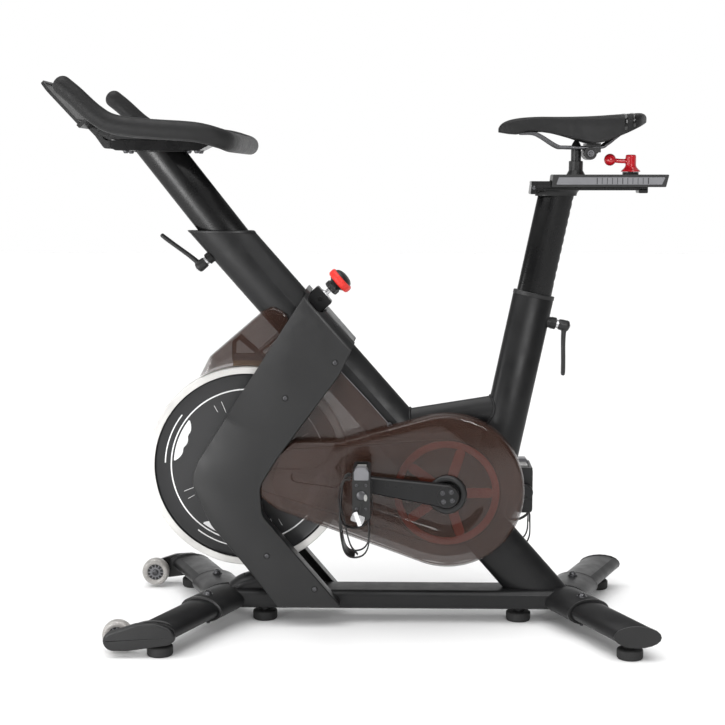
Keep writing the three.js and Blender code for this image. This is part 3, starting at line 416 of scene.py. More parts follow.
def turned_disc(name, colour, rough, centre, metallic):
    """Paint or metal with the fine circles that a lathe leaves about a crosswise axle."""
    g = Graph(name)
    shift = g.node("ShaderNodeVectorMath", operation="SUBTRACT")
    shift.inputs[1].default_value = centre * MM
    flat = g.node("ShaderNodeVectorMath", operation="MULTIPLY")
    flat.inputs[1].default_value = (1, 0, 1)
    length = g.node("ShaderNodeVectorMath", operation="LENGTH")
    g.link(g.where, shift.inputs[0])
    g.link(shift.outputs[0], flat.inputs[0])
    g.link(flat.outputs[0], length.inputs[0])
    rings = g.node("ShaderNodeTexNoise", noise_dimensions="1D")
    rings.inputs["Scale"].default_value = 900
    rings.inputs["Detail"].default_value = 4
    g.link(length.outputs["Value"], rings.inputs["W"])
    g.set(Base_Color=scuffed(g, colour, shade(colour, 1.6), 0.3), Metallic=metallic,
          Roughness=g.ranged(rings.outputs["Fac"], rough - 0.07, rough + 0.09))
    g.bumps((rings.outputs["Fac"], 0.25, 0.00008), (g.noise(600, 2), 0.12, 0.00006))
    return g.material


def leather(name, colour, rough, grain=620, depth=0.0004):
    g = Graph(name)
    creases = g.cells(grain, "DISTANCE_TO_EDGE")
    g.set(Base_Color=scuffed(g, colour, shade(colour, 1.8), 0.3),
          Roughness=g.ranged(g.noise(70, 4), rough - 0.07, rough + 0.06), Specular_IOR_Level=0.25)
    g.bumps((g.ranged(creases, 0, 1, 0, 0.25), 0.3, depth), (g.noise(1800, 3), 0.2, 0.0001))
    return g.material


def woven(name, colour):
    """A flat woven strap: ribs across it and along it."""
    g = Graph(name)
    waves = []
    for bands, scale in (("Z", 260), ("Y", 300)):
        wave = g.node("ShaderNodeTexWave", wave_type="BANDS", bands_direction=bands)
        wave.inputs["Scale"].default_value = scale
        g.link(g.where, wave.inputs["Vector"])
        waves.append(wave.outputs["Fac"])
    g.set(Base_Color=scuffed(g, colour, shade(colour, 2), 0.4),
          Roughness=g.ranged(g.noise(90, 3), 0.75 - 0.08, 0.75 + 0.08))
    g.bumps((waves[0], 0.5, 0.0003), (waves[1], 0.4, 0.0002))
    return g.material


def felted(name, colour):
    g = Graph(name)
    fibres = g.noise(900, 8, (1, 3, 1))
    g.set(Base_Color=g.blended(g.ranged(fibres, 0, 1), shade(colour, 0.7), colour), Roughness=0.95,
          Sheen_Weight=0.4)
    g.bumps((fibres, 0.7, 0.0005))
    return g.material


def cloudy_tyre(name):
    """Cloudy clear rubber with pale specks in it."""
    g = Graph(name)
    specks = g.ranged(g.cells(330), 1, 0, 0.10, 0.30)
    tone = g.blended(g.ranged(g.noise(60, 5), 0, 1), (0.30, 0.285, 0.27), (0.46, 0.44, 0.42))
    g.set(Base_Color=g.blended(specks, tone, (0.72, 0.71, 0.69)), Roughness=0.28, Transmission_Weight=0.25,
          Coat_Weight=0.3)
    g.bumps((g.noise(300, 3), 0.12, 0.0003))
    return g.material


LOOKS = {
    "frame_paint": (powder_coat, (0.0088, 0.0088, 0.0092), 0.36),
    "gloss_paint": (gloss_coat, (0.0045, 0.0045, 0.0047)),
    "black_plastic": (moulded, (0.0115, 0.0115, 0.0118), 0.38),
    "crank_paint": (powder_coat, (0.010, 0.010, 0.0105), 0.30),
    "smoked_plastic": (smoked, (0.040, 0.019, 0.013), 0.50),
    "rubber": (moulded, (0.016, 0.016, 0.016), 0.72, 900, 0.0003),
    "clear_tyre": (cloudy_tyre,),
    "flywheel_paint": (turned_disc, (0.010, 0.010, 0.011), 0.42, FLYWHEEL, 0.0),
    "polished_rim": (turned_disc, (0.62, 0.61, 0.59), 0.42, FLYWHEEL, 0.25),
    "pulley_paint": (turned_disc, (0.52, 0.07, 0.045), 0.5, CRANK, 0.0),
    "steel": (metal, (0.60, 0.60, 0.61), 0.28, (1, 6, 1)),
    "chrome": (metal, (0.82, 0.82, 0.83), 0.12),
    "dark_steel": (metal, (0.10, 0.10, 0.105), 0.34, (1, 6, 1)),
    "red_plastic": (moulded, (0.50, 0.010, 0.018), 0.22, 2200, 0.00004, 0.5),
    "knob_red": (moulded, (0.70, 0.030, 0.022), 0.42, 900, 0.0002),
    "felt": (felted, (0.30, 0.20, 0.09)),
    "bar_foam": (leather, (0.0125, 0.0125, 0.0128), 0.5, 950, 0.00022),
    "saddle_cover": (leather, (0.0095, 0.0095, 0.0098), 0.5),
    "saddle_gloss": (moulded, (0.006, 0.006, 0.006), 0.16, 2500, 0.00002, 0.6),
    "strap": (woven, (0.018, 0.018, 0.0185)),
    "white_paint": (moulded, (0.80, 0.80, 0.80), 0.45, 2200, 0.00003),
    "scale_grey": (metal, (0.20, 0.20, 0.21), 0.45, (30, 1, 1)),
    "pedal_grey": (moulded, (0.16, 0.16, 0.17), 0.35, 900, 0.0001),
    # Near-black, for print and small dark marks, and for the painted shade round the cover screws.
    "ink": (moulded, (0.0022, 0.0022, 0.0022), 0.6, 2200, 0.00002),
    "reflector": (moulded, (0.30, 0.30, 0.29), 0.3, 420, 0.0006, 0.3),
}
MATS = {name: make(name, *values) for name, (make, *values) in LOOKS.items()}

# ---------------------------------------------------------------- pieces


def mesh_of(shapes):
    """One mesh from shapes, each (verts, faces) or ((verts, faces), material number)."""
    bm = bmesh.new()
    for entry in shapes:
        (verts, faces), number = entry if isinstance(entry[1], int) else (entry, 0)
        made = [bm.verts.new(v * MM) for v in verts]
        for face in faces:
            bm.faces.new([made[i] for i in face]).material_index = number
    bmesh.ops.recalc_face_normals(bm, faces=bm.faces)
    mesh = bpy.data.meshes.new("mesh")
    bm.to_mesh(mesh)
    bm.free()
    return mesh


def smooth(mesh, angle):
    mesh.polygons.foreach_set("use_smooth", [True] * len(mesh.polygons))
    mesh.set_sharp_from_angle(angle=rad(angle))
    mesh.update()


def modified(obj):
    """Replaces obj's mesh by the result of its modifiers."""
    bpy.context.view_layer.update()
    result = bpy.data.meshes.new_from_object(obj.evaluated_get(bpy.context.evaluated_depsgraph_get()))
    obj.modifiers.clear()
    obj.data = result
    return obj


def loose(name, shapes):
    obj = bpy.data.objects.new(name, mesh_of(shapes))
    bpy.context.scene.collection.objects.link(obj)
    return obj


def carved(obj, operation, *others):
    """Cuts shapes from obj, or joins them to it."""
    for shape in others:
        other = loose("tool", [shape])
        boolean = obj.modifiers.new("cut", "BOOLEAN")
        boolean.object = other
        boolean.operation = operation
        boolean.solver = "EXACT"
        modified(obj)
        bpy.data.objects.remove(other)
    return obj


def blended_form(obj, voxel, rounds):
    """Runs obj's overlapping shapes into one moulded form."""
    remesh = obj.modifiers.new("remesh", "REMESH")
    remesh.mode = "VOXEL"
    remesh.voxel_size = voxel * MM
    relax = obj.modifiers.new("smooth", "SMOOTH")
    relax.iterations = rounds
    return modified(obj)


def bevel(obj, width, segments, angle):
    made = obj.modifiers.new("bevel", "BEVEL")
    made.width = width * MM
    made.segments = segments
    made.limit_method = "ANGLE"
    made.angle_limit = rad(angle)
    made.harden_normals = True
    made.use_clamp_overlap = True


def finish_piece(obj, body, slot, materials=None, replaces=(), edge=0.0, segments=2, angle=32, sharp=35):
    obj.data.name = obj.name
    if obj.data.materials:
        obj.data.materials.clear()
    for name in materials or [slot]:
        obj.data.materials.append(MATS[name])
    smooth(obj.data, sharp)
    if edge:
        bevel(obj, edge, segments, angle)
    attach(obj, body)
    if replaces:
        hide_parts(*replaces)
    return obj


def piece(name, shapes, body, slot, materials=None, replaces=(), **looks):
    return finish_piece(loose(name, shapes), body, slot, materials, replaces, **looks)


def screw_head(at, axis, radius, h):
    """A button head with a hexagon socket."""
    hole = hexagon(radius * 0.95)
    profile = [(0, -1), (radius, -1), (radius, h * 0.25), (radius * 0.93, h * 0.6), (radius * 0.72, h * 0.93),
               (radius * 0.6, h), (lambda a: hole(a) * 1.06, h), (hole, h * 0.9), (hole, h * 0.25),
               (0, h * 0.2)]
    return lathe(profile, 36, facing(at, axis))


def hex_nut(at, axis, across_flats, height):
    flat, full = hexagon(across_flats), across_flats / 2 * 1.02
    profile = [(0, 0), (full, 0), (flat, height * 0.18), (flat, height * 0.82), (full, height), (0, height)]
    return lathe(profile, 36, facing(at, axis))


def washer(at, axis, radius):
    return rod(radius, at, axis, 1.2)


def keep(node, slot, edge=0.0, segments=2, angle=38, sharp=34, material=None):
    """A CAD node that stays in view, with its own material and softened edges."""
    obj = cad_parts[node]
    obj.data.materials.clear()
    obj.data.materials.append(MATS[material or slot])
    smooth(obj.data, sharp)
    if edge:
        bevel(obj, edge, segments, angle)


# ---------------------------------------------------------------- frame

def level(z):
    """A horizontal plane."""
    return Vector((0, 0, z)), UP


def oval(width, thickness, origin, axis, plane, across=ACROSS, sides=96):
    """An oval section about an axis, where it meets a plane (point, normal)."""
    m = basis(origin, axis, across)
    axis = Vector(axis).normalized()
    at, normal = plane
    ring = []
    for p in ellipse(width, thickness, sides):
        q = m @ Vector((p[0], p[1], 0))
        ring.append(q + axis * ((at - q).dot(normal) / axis.dot(normal)))
    return ring


def tube(width, thickness, wall, origin, axis, start, end, across=ACROSS):
    """An oval tube between two planes, with a rounded lip at its end."""
    axis = Vector(axis).normalized()
    ends = [(start, 0, 0), (end, 0, -1.0), (end, -0.5, -0.3), (end, -1.2, 0)]
    rings = []
    for (at, normal), shrink, back in ends:
        rings.append(oval(width + 2 * shrink, thickness + 2 * shrink, origin, axis,
                          (at + axis * back, normal), across))
    for plane in (end, start):
        rings.append(oval(width - 2 * wall, thickness - 2 * wall, origin, axis, plane, across))
    return skinned(rings, closed=True)


def square_to(origin, axis, distance):
    """The plane square to an axis at a distance along it."""
    axis = Vector(axis).normalized()
    return Vector(origin) + axis * distance, axis


def bead(points, radius):
    """A bead of weld along a closed line, with the ripples of its passes."""
    fine = spline(list(points) + [points[0]], 3)[:-1]
    rings = []
    count = len(fine)
    for i, p in enumerate(fine):
        ahead = (fine[(i + 1) % count] - fine[i - 1]).normalized()
        a = ahead.orthogonal().normalized()
        b = ahead.cross(a)
        r = radius * (1.0 + 0.13 * math.sin(i * 1.9))
        rings.append([p + (a * math.cos(t) + b * math.sin(t)) * r for t in (TAU * k / 10 for k in range(10))])
    return skinned(rings, closed=True)


def clamp_boss(at, axis, height):
    """The ring on a tube that a clamp's screw turns in."""
    return lathe([(5.5, -3), (11, -3), (11, height - 0.8), (10.2, height), (5.5, height), (5.5, -3)], 48,
                 basis(at, axis))


BASE_TOP = 69.8
BEAM = 100, 50
SEAT_TUBE = 82, 50
BRACE = 60, 36
FRONT_CLAMP = 908
SEAT_CLAMP = 48
SEAT_TUBE_LENGTH = 470
beam_foot = on_beam(0, 0)
beam_shapes = [tube(*BEAM, 3, beam_foot, BEAM_UP, level(BASE_TOP), level(795)),
               clamp_boss(on_beam(FRONT_CLAMP, -50), -BEAM_NORMAL, 8)]
pivot = on_beam(655, -64)
for side in (-1, 1):
    ear = []
    for p in outline([(0, -14, 8), (40, -14, 0), (40, 14, 0), (0, 14, 8)]):
        q = pivot + BEAM_NORMAL * (p[0] - 12) - BEAM_UP * p[1]
        ear.append((q.x, q.z))
    beam_shapes.append(side_slab(ear, side, 10, 14))
beam_shapes.append(rod(3.6, pivot - ACROSS * 13, ACROSS, 26))
piece("beam_tube", beam_shapes, "frame", "frame_paint", None, ["main_beam"], sharp=40)

seat_foot = on_seat_tube(SEAT_TUBE_LENGTH, 0)
brace_axis = direction(9.2)
brace_from = Vector((134.8, 0, 413.4))


def along_brace(width, thickness, sides, far, toward=SEAT_BACK, foot=seat_foot, half_width=25):
    """An oval section carried along the brace to the round wall of a tube, far from that tube's axis."""
    points = []
    for p in ellipse(width, thickness, sides):
        q = basis(brace_from, brace_axis) @ Vector((p[0], p[1], 0))
        wall = far * math.sqrt(1 - (q.y / half_width) ** 2)
        points.append(q + brace_axis * ((wall - (q - foot).dot(toward)) / brace_axis.dot(toward)))
    return points


def behind_brace(width, thickness):
    start = basis(brace_from - brace_axis * 70, brace_axis)
    return [start @ Vector((*p, 0)) for p in ellipse(width, thickness, 64)]


brace = skinned([behind_brace(*BRACE), along_brace(*BRACE, 64, -39.6, half_width=23.6),
                 along_brace(54, 30, 64, -39.6, half_width=23.6), behind_brace(54, 30)], closed=True)
seat_shapes = [tube(*SEAT_TUBE, 3, seat_foot, SEAT_UP, square_to(seat_foot, SEAT_UP, 0),
                    square_to(seat_foot, SEAT_UP, SEAT_TUBE_LENGTH)),
               brace, clamp_boss(on_seat_tube(SEAT_CLAMP, 39), SEAT_BACK, 11),
               bead(along_brace(*BRACE, 40, -41), 2.7),
               bead(along_brace(*BRACE, 40, 50, BEAM_NORMAL, beam_foot), 2.7)]
piece("seat_mast", seat_shapes, "frame", "frame_paint", None, ["seat_tube"], sharp=40)

ARM_AXES = {}
for end, apex, lengthwise in (("front", -263, -1), ("rear", 414, 1)):
    sleeves = []
    middle_plane = Vector((0, 0, 0)), ACROSS
    for name, side in SIDES.items():
        origin = Vector((apex, 0, 48))
        axis = Vector((lengthwise * math.sin(rad(24)), side * math.cos(rad(24)), 0))
        ARM_AXES[end, name] = origin, axis
        cap_plane = Vector((0, side * 264.5, 0)), ACROSS
        arm = tube(80, 40, 2.5, origin, axis, square_to(origin, axis, 30), cap_plane, UP)
        piece(f"arm_tube_{end}_{name}", [arm], "frame", "frame_paint", None, [f"arm_{end}_{name}"], sharp=40)
        sleeves.append(tube(94, 50, 4.4, origin, axis, middle_plane, square_to(origin, axis, 113), UP))
    weld = oval(94, 50, origin, axis, middle_plane, UP, 40)
    piece(f"sleeve_{end}", sleeves + [bead(weld, 2.2)], "frame", "frame_paint", None, [f"{end}_sleeve"],
          sharp=40)

base_section = outline(box_corners(-40, 40, -19.5, 19.5, 12))
base_beam = skinned([[Vector((x, q.x, 50 + q.y)) for q in base_section] for x in (-268, 400)])
gusset = sweep(spline([(-250, 0, 66), (-232, 0, 77), (-200, 0, 85), (-150, 0, 86)], 8), ellipse(50, 34, 36),
               rounded=17)
cheek = slab(outline([(-262, 66, 2), (-222, 86, 8), (-160, 86, 4), (-146, 66, 2)]), -24.6, 24.6)
slot_mark = plate(rectangle(15, 3, 1.4), 0.5, basis((-231, -11, 93.6), (-0.45, -0.42, 0.9), (0.6, 0, 0.4)))
piece("base_beam", [(base_beam, 0), (gusset, 0), (cheek, 0), (slot_mark, 1)], "frame", "frame_paint",
      ["frame_paint", "ink"], ["base_tube"], sharp=40)
for node in ("bottom_bracket", "fork_leg_left", "fork_leg_right"):
    keep(node, "frame_paint", sharp=50)
BRAKE_ROD = 701.8
block_outline = outline([(-22, 40, 3), (22, 40, 3), (22, 74, 4), (-22, 74, 4)])
housing = [[on_beam(BRAKE_ROD + p[0], p[1], y) for p in block_outline] for y in (-17, 17)]
piece("rod_housing", [skinned(housing)], "frame", "frame_paint", None, ["knob_housing"], edge=2.2, segments=3)

# The plastic collars in the mouths of the beam and the seat tube.
post_foot = Vector((-266.4, 0, 795))
collar = []
for z, grow in ((793, 0.7), (796.6, 0.7), (797.6, -0.6)):
    collar.append(oval(BEAM[0] + 2 * grow, BEAM[1] + 2 * grow, beam_foot, BEAM_UP, level(z)))
for z in (797.6, 788):
    collar.append(oval(80.6, 40.6, post_foot, POST_UP, level(z)))
seat_collar = []
for width, thickness, height in ((83.4, 51.4, 466), (83.4, 51.4, 472.6), (80.8, 48.8, 473.8),
                                 (70.6, 38.6, 473.8), (70.6, 38.6, 460)):
    plane = square_to(seat_foot, SEAT_UP, height)
    seat_collar.append(oval(width, thickness, seat_foot, SEAT_UP, plane))
piece("tube_collars", [skinned(collar, closed=True), skinned(seat_collar, closed=True)], "frame",
      "black_plastic")

frame_screws = []
sleeve_lips = []
for origin, out in ARM_AXES.values():
    at = origin + out * 88
    frame_screws += [
        washer(at + UP * 24.6, UP, 10.5), screw_head(at + UP * 25.4, UP, 8, 6),
        washer(at - UP * 24.6, -UP, 9), hex_nut(at - UP * 25.4, -UP, 13, 6), rod(3.8, at - UP * 25, -UP, 10),
    ]
    mouth = basis(origin + out * 113, out, UP)
    sizes = ((94.4, 50.4, -3), (94.4, 50.4, 0.6), (92.4, 48.4, 1.2), (81, 41, 1.2), (81, 41, -3))
    rims = [[mouth @ Vector((*p, z)) for p in ellipse(w, t, 64)] for w, t, z in sizes]
    sleeve_lips.append(skinned(rims, closed=True))
piece("sleeve_bolts", frame_screws, "frame", "black_plastic", ["dark_steel"], sharp=30)
piece("sleeve_lips", sleeve_lips, "frame", "black_plastic")

# ---------------------------------------------------------------- caps, feet, wheels

CAP = [(-475.5, 14, 20), (-475.5, 46, 18), (-412, 66.8, 40), (-374, 68.8, 30), (-345, 58, 22),
       (-335.5, 37, 10), (-350, 25.5, 20), (-405, 17.5, 60), (-430, 14, 40)]
WHEEL = Vector((-453, 0, 35))
for name, side in SIDES.items():
    out = ACROSS * side
    levels = [(0, 256), (0, 266), (0.9, 268.4), (2.6, 269.7), (5.0, 270)]
    shell = layered([(outline(CAP, inset + 0.01), side * y) for inset, y in levels])
    axle = rod(4.2, WHEEL + out * 258, -out, 42)
    head = screw_head(WHEEL + out * 217, -out, 7, 3.4)
    boss = rod(9, WHEEL + out * 257, -out, 13.4)
    rim = [p + Vector((-380.7, 48)) for p in map(Vector, ellipse(91.5, 43.5, 64))]
    collar = layered([(rim, side * 249), (rim, side * 257)])
    piece(f"front_cap_{name}", [shell, collar, boss, (axle, 1), (head, 1)], "frame", "black_plastic",
          ["black_plastic", "dark_steel"], [f"end_cap_front_{name}"], sharp=40)
    keep(f"end_cap_rear_{name}", "black_plastic", 1.6, 3)


def foot_shape(x, y, seat):
    """A levelling foot: ribbed rubber cup, steel washer, hexagon nut and threaded stud."""
    ribs = 36
    grip = lambda r: (lambda a: r - 0.55 * (0.5 + 0.5 * math.cos(ribs * a)))
    cup = lathe([(0, 0), (21, 0), (23.6, 0.8), (24.6, 2.4), (grip(25), 4), (grip(25), 15.5), (24.4, 17.4),
                 (22.4, 19), (18, 19.8), (0, 19.8)], 144)
    top = seat - 0.3
    nut = hex_nut((0, 0, 19.8), UP, 21.5, top - 20.4)
    disc = lathe([(0, top - 1.6), (12.8, top - 1.6), (12.9, top - 0.3), (12.4, top), (0, top)], 48)
    turns = [(4.9 if k % 2 else 4.4, top + 0.6 * k) for k in range(1, 30)]
    stud = lathe([(0, top)] + turns + [(0, top + 18)], 24)
    m = Matrix.Translation(Vector((x, y, 0)))
    return [(placed(*cup, m), 0), (placed(*nut, m), 1), (placed(*disc, m), 1), (placed(*stud, m), 2)]


FEET = {
    "foot_front_left": (-370.7, -242, 28), "foot_front_right": (-370.7, 242, 28),
    "foot_rear_left": (521.7, -242, 28), "foot_rear_right": (521.7, 242, 28),
    "foot_middle_front": (-190.6, 0, 30.5), "foot_middle_rear": (329.8, 0, 30.5),
}
for node, (x, y, seat) in FEET.items():
    piece(f"{node}_cup", foot_shape(x, y, seat), node, "rubber", ["rubber", "black_plastic", "steel"], [node],
          sharp=40)


def roller(side):
    """A skate wheel: cloudy tyre, dark spoked core, pale hub ring and bearing."""
    tyre = lathe([(17.5, -9.5), (20, -11.4), (24.5, -11.8), (27.6, -10), (29.3, -6.4), (29.9, 0), (29.3, 6.4),
                  (27.6, 10), (24.5, 11.8), (20, 11.4), (17.5, 9.5), (17.5, -9.5)], 96)
    core = lathe([(10.5, -9), (17.4, -9), (17.4, 9), (10.5, 9), (10.5, -9)], 64)
    shapes = [(tyre, 0), (core, 1)]
    for face in (-1, 1):
        hub = lathe([(4.6, 9 * face), (4.6, 10.6 * face), (6.2, 11 * face), (8.4, 10.4 * face),
                     (9.2, 11.2 * face), (10.9, 11.2 * face), (11.4, 9 * face), (4.6, 9 * face)], 48)
        shapes.append((hub, 2))
        for k in range(12):
            m = Matrix.Rotation(TAU * k / 12, 4, "Z") @ Matrix.Translation(Vector((14, 0, 9 * face)))
            shapes.append((plate(rectangle(6.6, 2.0, 0.8), 1.3 * face, m), 2))
    bearing = lathe([(4.4, -9), (10.6, -9), (10.6, 9), (4.4, 9), (4.4, -9)], 48)
    shapes.append((bearing, 3))
    m = basis(WHEEL + ACROSS * (side * 230), ACROSS, UP)
    return [(placed(*shape, m), number) for shape, number in shapes]


for name, side in SIDES.items():
    piece(f"roller_{name}", roller(side), f"wheel_{name}", "clear_tyre",
          ["clear_tyre", "black_plastic", "pedal_grey", "dark_steel"], [f"wheel_{name}"], sharp=36)

# ---------------------------------------------------------------- flywheel and drive


def flywheel_shapes():
    half = [(6.4, 18), (26.5, 18), (28, 16.6), (28.6, 12), (32, 9.4), (38, 8.3), (150, 7.6), (183, 7.9),
            (187.5, 9.6), (189.4, 13), (189.9, 15.4), (190.6, 16), (202.2, 16), (204.2, 14.8), (204.7, 12.6)]
    profile = [(r, -h) for r, h in half] + [(204.7, 0)] + half[::-1]
    verts, faces = lathe(profile + [profile[0]], 192, basis(FLYWHEEL, ACROSS, UP))
    rim, web = [], []
    for face in faces:
        nearest = min((Vector((verts[i].x, 0, verts[i].z)) - FLYWHEEL).length for i in face)
        (rim if nearest > 189.5 else web).append(face)
    shapes = []
    for part, number in ((web, 0), (rim, 1)):
        used = sorted({i for face in part for i in face})
        place = {old: new for new, old in enumerate(used)}
        shapes.append((([verts[i] for i in used], [[place[i] for i in face] for face in part]), number))
    return shapes


def arc_band(r0, r1, start, end, y, thickness=0.35):
    """A flat band on the flywheel's face, between two radii and two angles in degrees."""
    steps = max(2, int(abs(end - start) / 2))
    angles = [rad(start + (end - start) * k / steps) for k in range(steps + 1)]

    def radius(value, k):
        return value(k / steps) if callable(value) else value

    def edge(value, turns):
        return [(FLYWHEEL.x + radius(value, k) * math.cos(t), FLYWHEEL.z + radius(value, k) * math.sin(t))
                for k, t in turns]

    turns = list(enumerate(angles))
    points = edge(r1, turns) + edge(r0, turns[::-1])
    low, high = sorted((y, y + math.copysign(thickness, y)))
    return slab(points, low, high)


piece("flywheel_disc", flywheel_shapes(), "flywheel", "flywheel_paint",
      ["flywheel_paint", "polished_rim"], ["flywheel"], sharp=30)
marks = []
for face in (-1, 1):
    y = face * 7.55
    for start in (0, 120, 240):
        marks.append(arc_band(155.8, 158.4, start, start + 119.9, y))
    for start in (52, 142, 232, 322):
        marks.append(arc_band(168, 170.4, start, start + 36, y))
        scallop = lambda t: 149 - 13 * math.sin(math.pi * t) ** 0.7 - 4 * abs(math.sin(3 * math.pi * t))
        marks.append(arc_band(scallop, 152, start, start + 34, y))
        marks.append(arc_band(118, 142, start + 59.8, start + 60.2, y))
        marks.append(arc_band(126, 141, start + 66.8, start + 67.1, y))
piece("flywheel_marks", marks, "flywheel", "flywheel_paint", ["white_paint"])

for node in ("flywheel_pulley", "flywheel_axle", "crank_spindle"):
    keep(node, "steel", 0.6)
keep("drive_pulley", "pulley_paint", 1.0, material="flywheel_paint")
pulley_at = basis(CRANK, (0, -1, 0), UP)
pulley_rim = lathe([(90, 44), (96.4, 38.9), (105.2, 38.9), (105.2, 51.1), (96, 51.3), (92, 49), (90, 44)],
                   128, pulley_at)
spokes = []
for k in range(5):
    m = pulley_at @ Matrix.Rotation(TAU * k / 5, 4, "Z") @ Matrix.Translation(Vector((61, 0, 46.4)))
    spokes.append(plate(rectangle(62, 20, 8), 3.4, m))
piece("pulley_rim", [pulley_rim] + spokes, "crank", "pulley_paint", None, edge=0.6)
keep("drive_belt", "rubber")

CRANK_OUT = direction(180 - 8.5)
TIPS = {name: CRANK + CRANK_OUT * (-side * 170) for name, side in SIDES.items()}
for name, side in SIDES.items():
    tip = TIPS[name]
    out = ACROSS * side
    about_crank = facing(CRANK, out)
    levels = [(1.6, 72.9), (0, 74.6), (0, 83.4), (1.2, 86), (3.4, 88)]
    arm = [(loop_round((CRANK.x, CRANK.z, 24 - inset), (tip.x, tip.z, 16 - inset)), side * y)
           for inset, y in levels]
    boss = lathe([(11, 56), (17, 56), (18, 57), (18, 74), (11, 74), (11, 56)], 64, about_crank)
    pin = rod(7, tip + out * 74, out, 112)
    flange = rod(12, tip + out * 87.6, out, 4)
    rim = lathe([(19.5, 87.4), (20.2, 88.5), (21.4, 88.5), (22, 87.4), (19.5, 87.4)], 96, about_crank)
    bolts = []
    for k in range(4):
        turn = rad(52 + 90 * k)
        at = CRANK + Vector((12.3 * math.cos(turn), side * 87.8, 12.3 * math.sin(turn)))
        bolts.append((screw_head(at, out, 3.3, 1.8), 1))
        bolts.append((lathe([(3.5, -0.6), (4.9, -0.6), (4.9, 0.35), (4.3, 0.7), (3.5, 0.5), (3.5, -0.6)], 28,
                            facing(at, out)), 1))
    piece(f"crank_arm_{name}", [(layered(arm), 0), (boss, 0), (rim, 2), (flange, 1), (pin, 1)] + bolts,
          "crank", "crank_paint", ["crank_paint", "dark_steel", "black_plastic"], [f"crank_{name}"], sharp=42)

# ---------------------------------------------------------------- pedals and toe clips

RAIL = outline([(-17, -46, 8), (-11, -48, 3), (11, -48, 3), (17, -46, 8), (17, 46, 8), (11, 48, 3),
                (-11, 48, 3), (-17, 46, 8)])
for name, side in SIDES.items():
    tip = TIPS[name]
    out = ACROSS * side
    about_tip = facing(tip, out)

    def at_tip(points, a, b):
        """A slab of the pedal, from points (x, z) about its axle."""
        return side_slab([(p[0] + tip.x, p[1] + tip.z) for p in points], side, a, b)

    def course(points, steps, lane=146):
        """A smooth line round the pedal in a plane at that distance from the bike's middle."""
        return spline([(p[0] + tip.x, side * lane, p[1] + tip.z) for p in points], steps)

    barrel = lathe([(7.4, 98), (10, 98), (13.4, 106), (12.2, 122), (11.6, 146), (12.2, 170), (13.4, 186),
                    (10, 194), (7.4, 194), (7.4, 98)], 48, about_tip)
    cap = lathe([(0, 193.4), (9, 193.4), (9, 194), (8, 194.6), (0, 194.9)], 36, about_tip)
    shapes = [(at_tip(RAIL, 98, 107), 0), (at_tip(RAIL, 185, 194), 0), (barrel, 0), (cap, 1)]
    for end in (-1, 1):
        for px in (-13.4, 13.4):
            for half_width, near, far, radius in ((3.4, 33, 47, 1.5), (2.4, 17, 24, 1.2)):
                bar = box_corners(px - half_width, px + half_width, end * far, end * near, radius)
                shapes.append((at_tip(outline(bar), 104, 188), 0))
        for y in (118, 132, 146, 160, 174):
            fin = outline(box_corners(-14, 14, end * 11, end * 40, 1))
            shapes.append((at_tip(fin, y - 1.6, y + 1.6), 0))
        pane = outline([(-9, end * 41, 2), (9, end * 41, 2), (9, end * 47.6, 1), (-9, end * 47.6, 1)])
        shapes.append((at_tip(pane, 126, 166), 2))
    crown = outline([(-14, 30, 3), (-14, 46, 3), (-8, 54, 3), (8, 54, 3), (14, 46, 3), (14, 30, 3)])
    shapes.append((at_tip(crown, 170, 195.4), 3))
    for px, pz in ((-9, 20), (9, 20), (-9, -26), (9, -26)):
        shapes.append((screw_head(tip + Vector((px, side * 193.6, pz)), out, 3.0, 1.8), 1))
    lens = [(8.2 + q[0], q[1] - 4) for q in ellipse(6.6, 13, 32)]
    shapes.append((at_tip(lens, 193.6, 195.6), 2))
    piece(f"pedal_body_{name}", shapes, f"pedal_{name}", "black_plastic",
          ["black_plastic", "dark_steel", "reflector", "pedal_grey"], [f"pedal_{name}"], edge=0.7)

    # The clip is a moulded cage with two ribs, and the strap passes round it and through a buckle.
    route = [(-18, -47), (-2, -49), (12, -52), (14, -72), (13, -104), (2, -122), (-18, -126), (-32, -116),
             (-39, -90), (-42, -60), (-41, -30), (-38.4, 4), (-33, 24), (-21, 27.5)]
    cage = [(sweep(course(route, 8, lane), rectangle(6, 2.8, 1.2)), 0) for lane in (119, 173)]
    for a, b in ((4, 26), (46, 66), (76, 88)):
        cage.append((sweep(course(route, 8)[a:b], rectangle(56, 2.4, 1.0)), 0))
    band = [(-21, 30), (-32, 26), (-43.6, 0), (-43.4, -40), (-36, -66), (-14, -74), (8, -64), (18.6, -44),
            (19.4, -10), (19, 20)]
    tail = [(-21, 28), (-26, 33), (-36, 20), (-40, -24), (-32, -70), (-22, -108), (-8, -127)]
    cage += [(sweep(course(band, 8), rectangle(17, 1.8, 0.6)), 1),
             (sweep(course(tail, 6), rectangle(14, 1.6, 0.5)), 1)]
    buckle_at = tip + Vector((-7, side * 196.4, -44))
    buckle = plate(rectangle(26, 15, 3), 1.8, basis(buckle_at, (0.15, side, 0.1), (0.4, 0, 1)))
    tongue = plate(rectangle(8, 30, 2), 2.0, basis(buckle_at + out * 1.6, (0.1, side, -0.12), (-0.35, 0, 1)))
    hanger = sweep([buckle_at + Vector((3, -side * 2, 8)), buckle_at + Vector((9, -side * 8, 34)),
                    tip + Vector((12, side * 176, 10))], rectangle(12, 1.8, 0.6))
    cage += [(buckle, 2), (tongue, 2), (hanger, 1)]
    piece(f"toe_cage_{name}", cage, f"pedal_{name}", "strap", ["black_plastic", "strap", "chrome"],
          [f"toe_clip_{name}"], sharp=40)

# ---------------------------------------------------------------- fork covers and guards

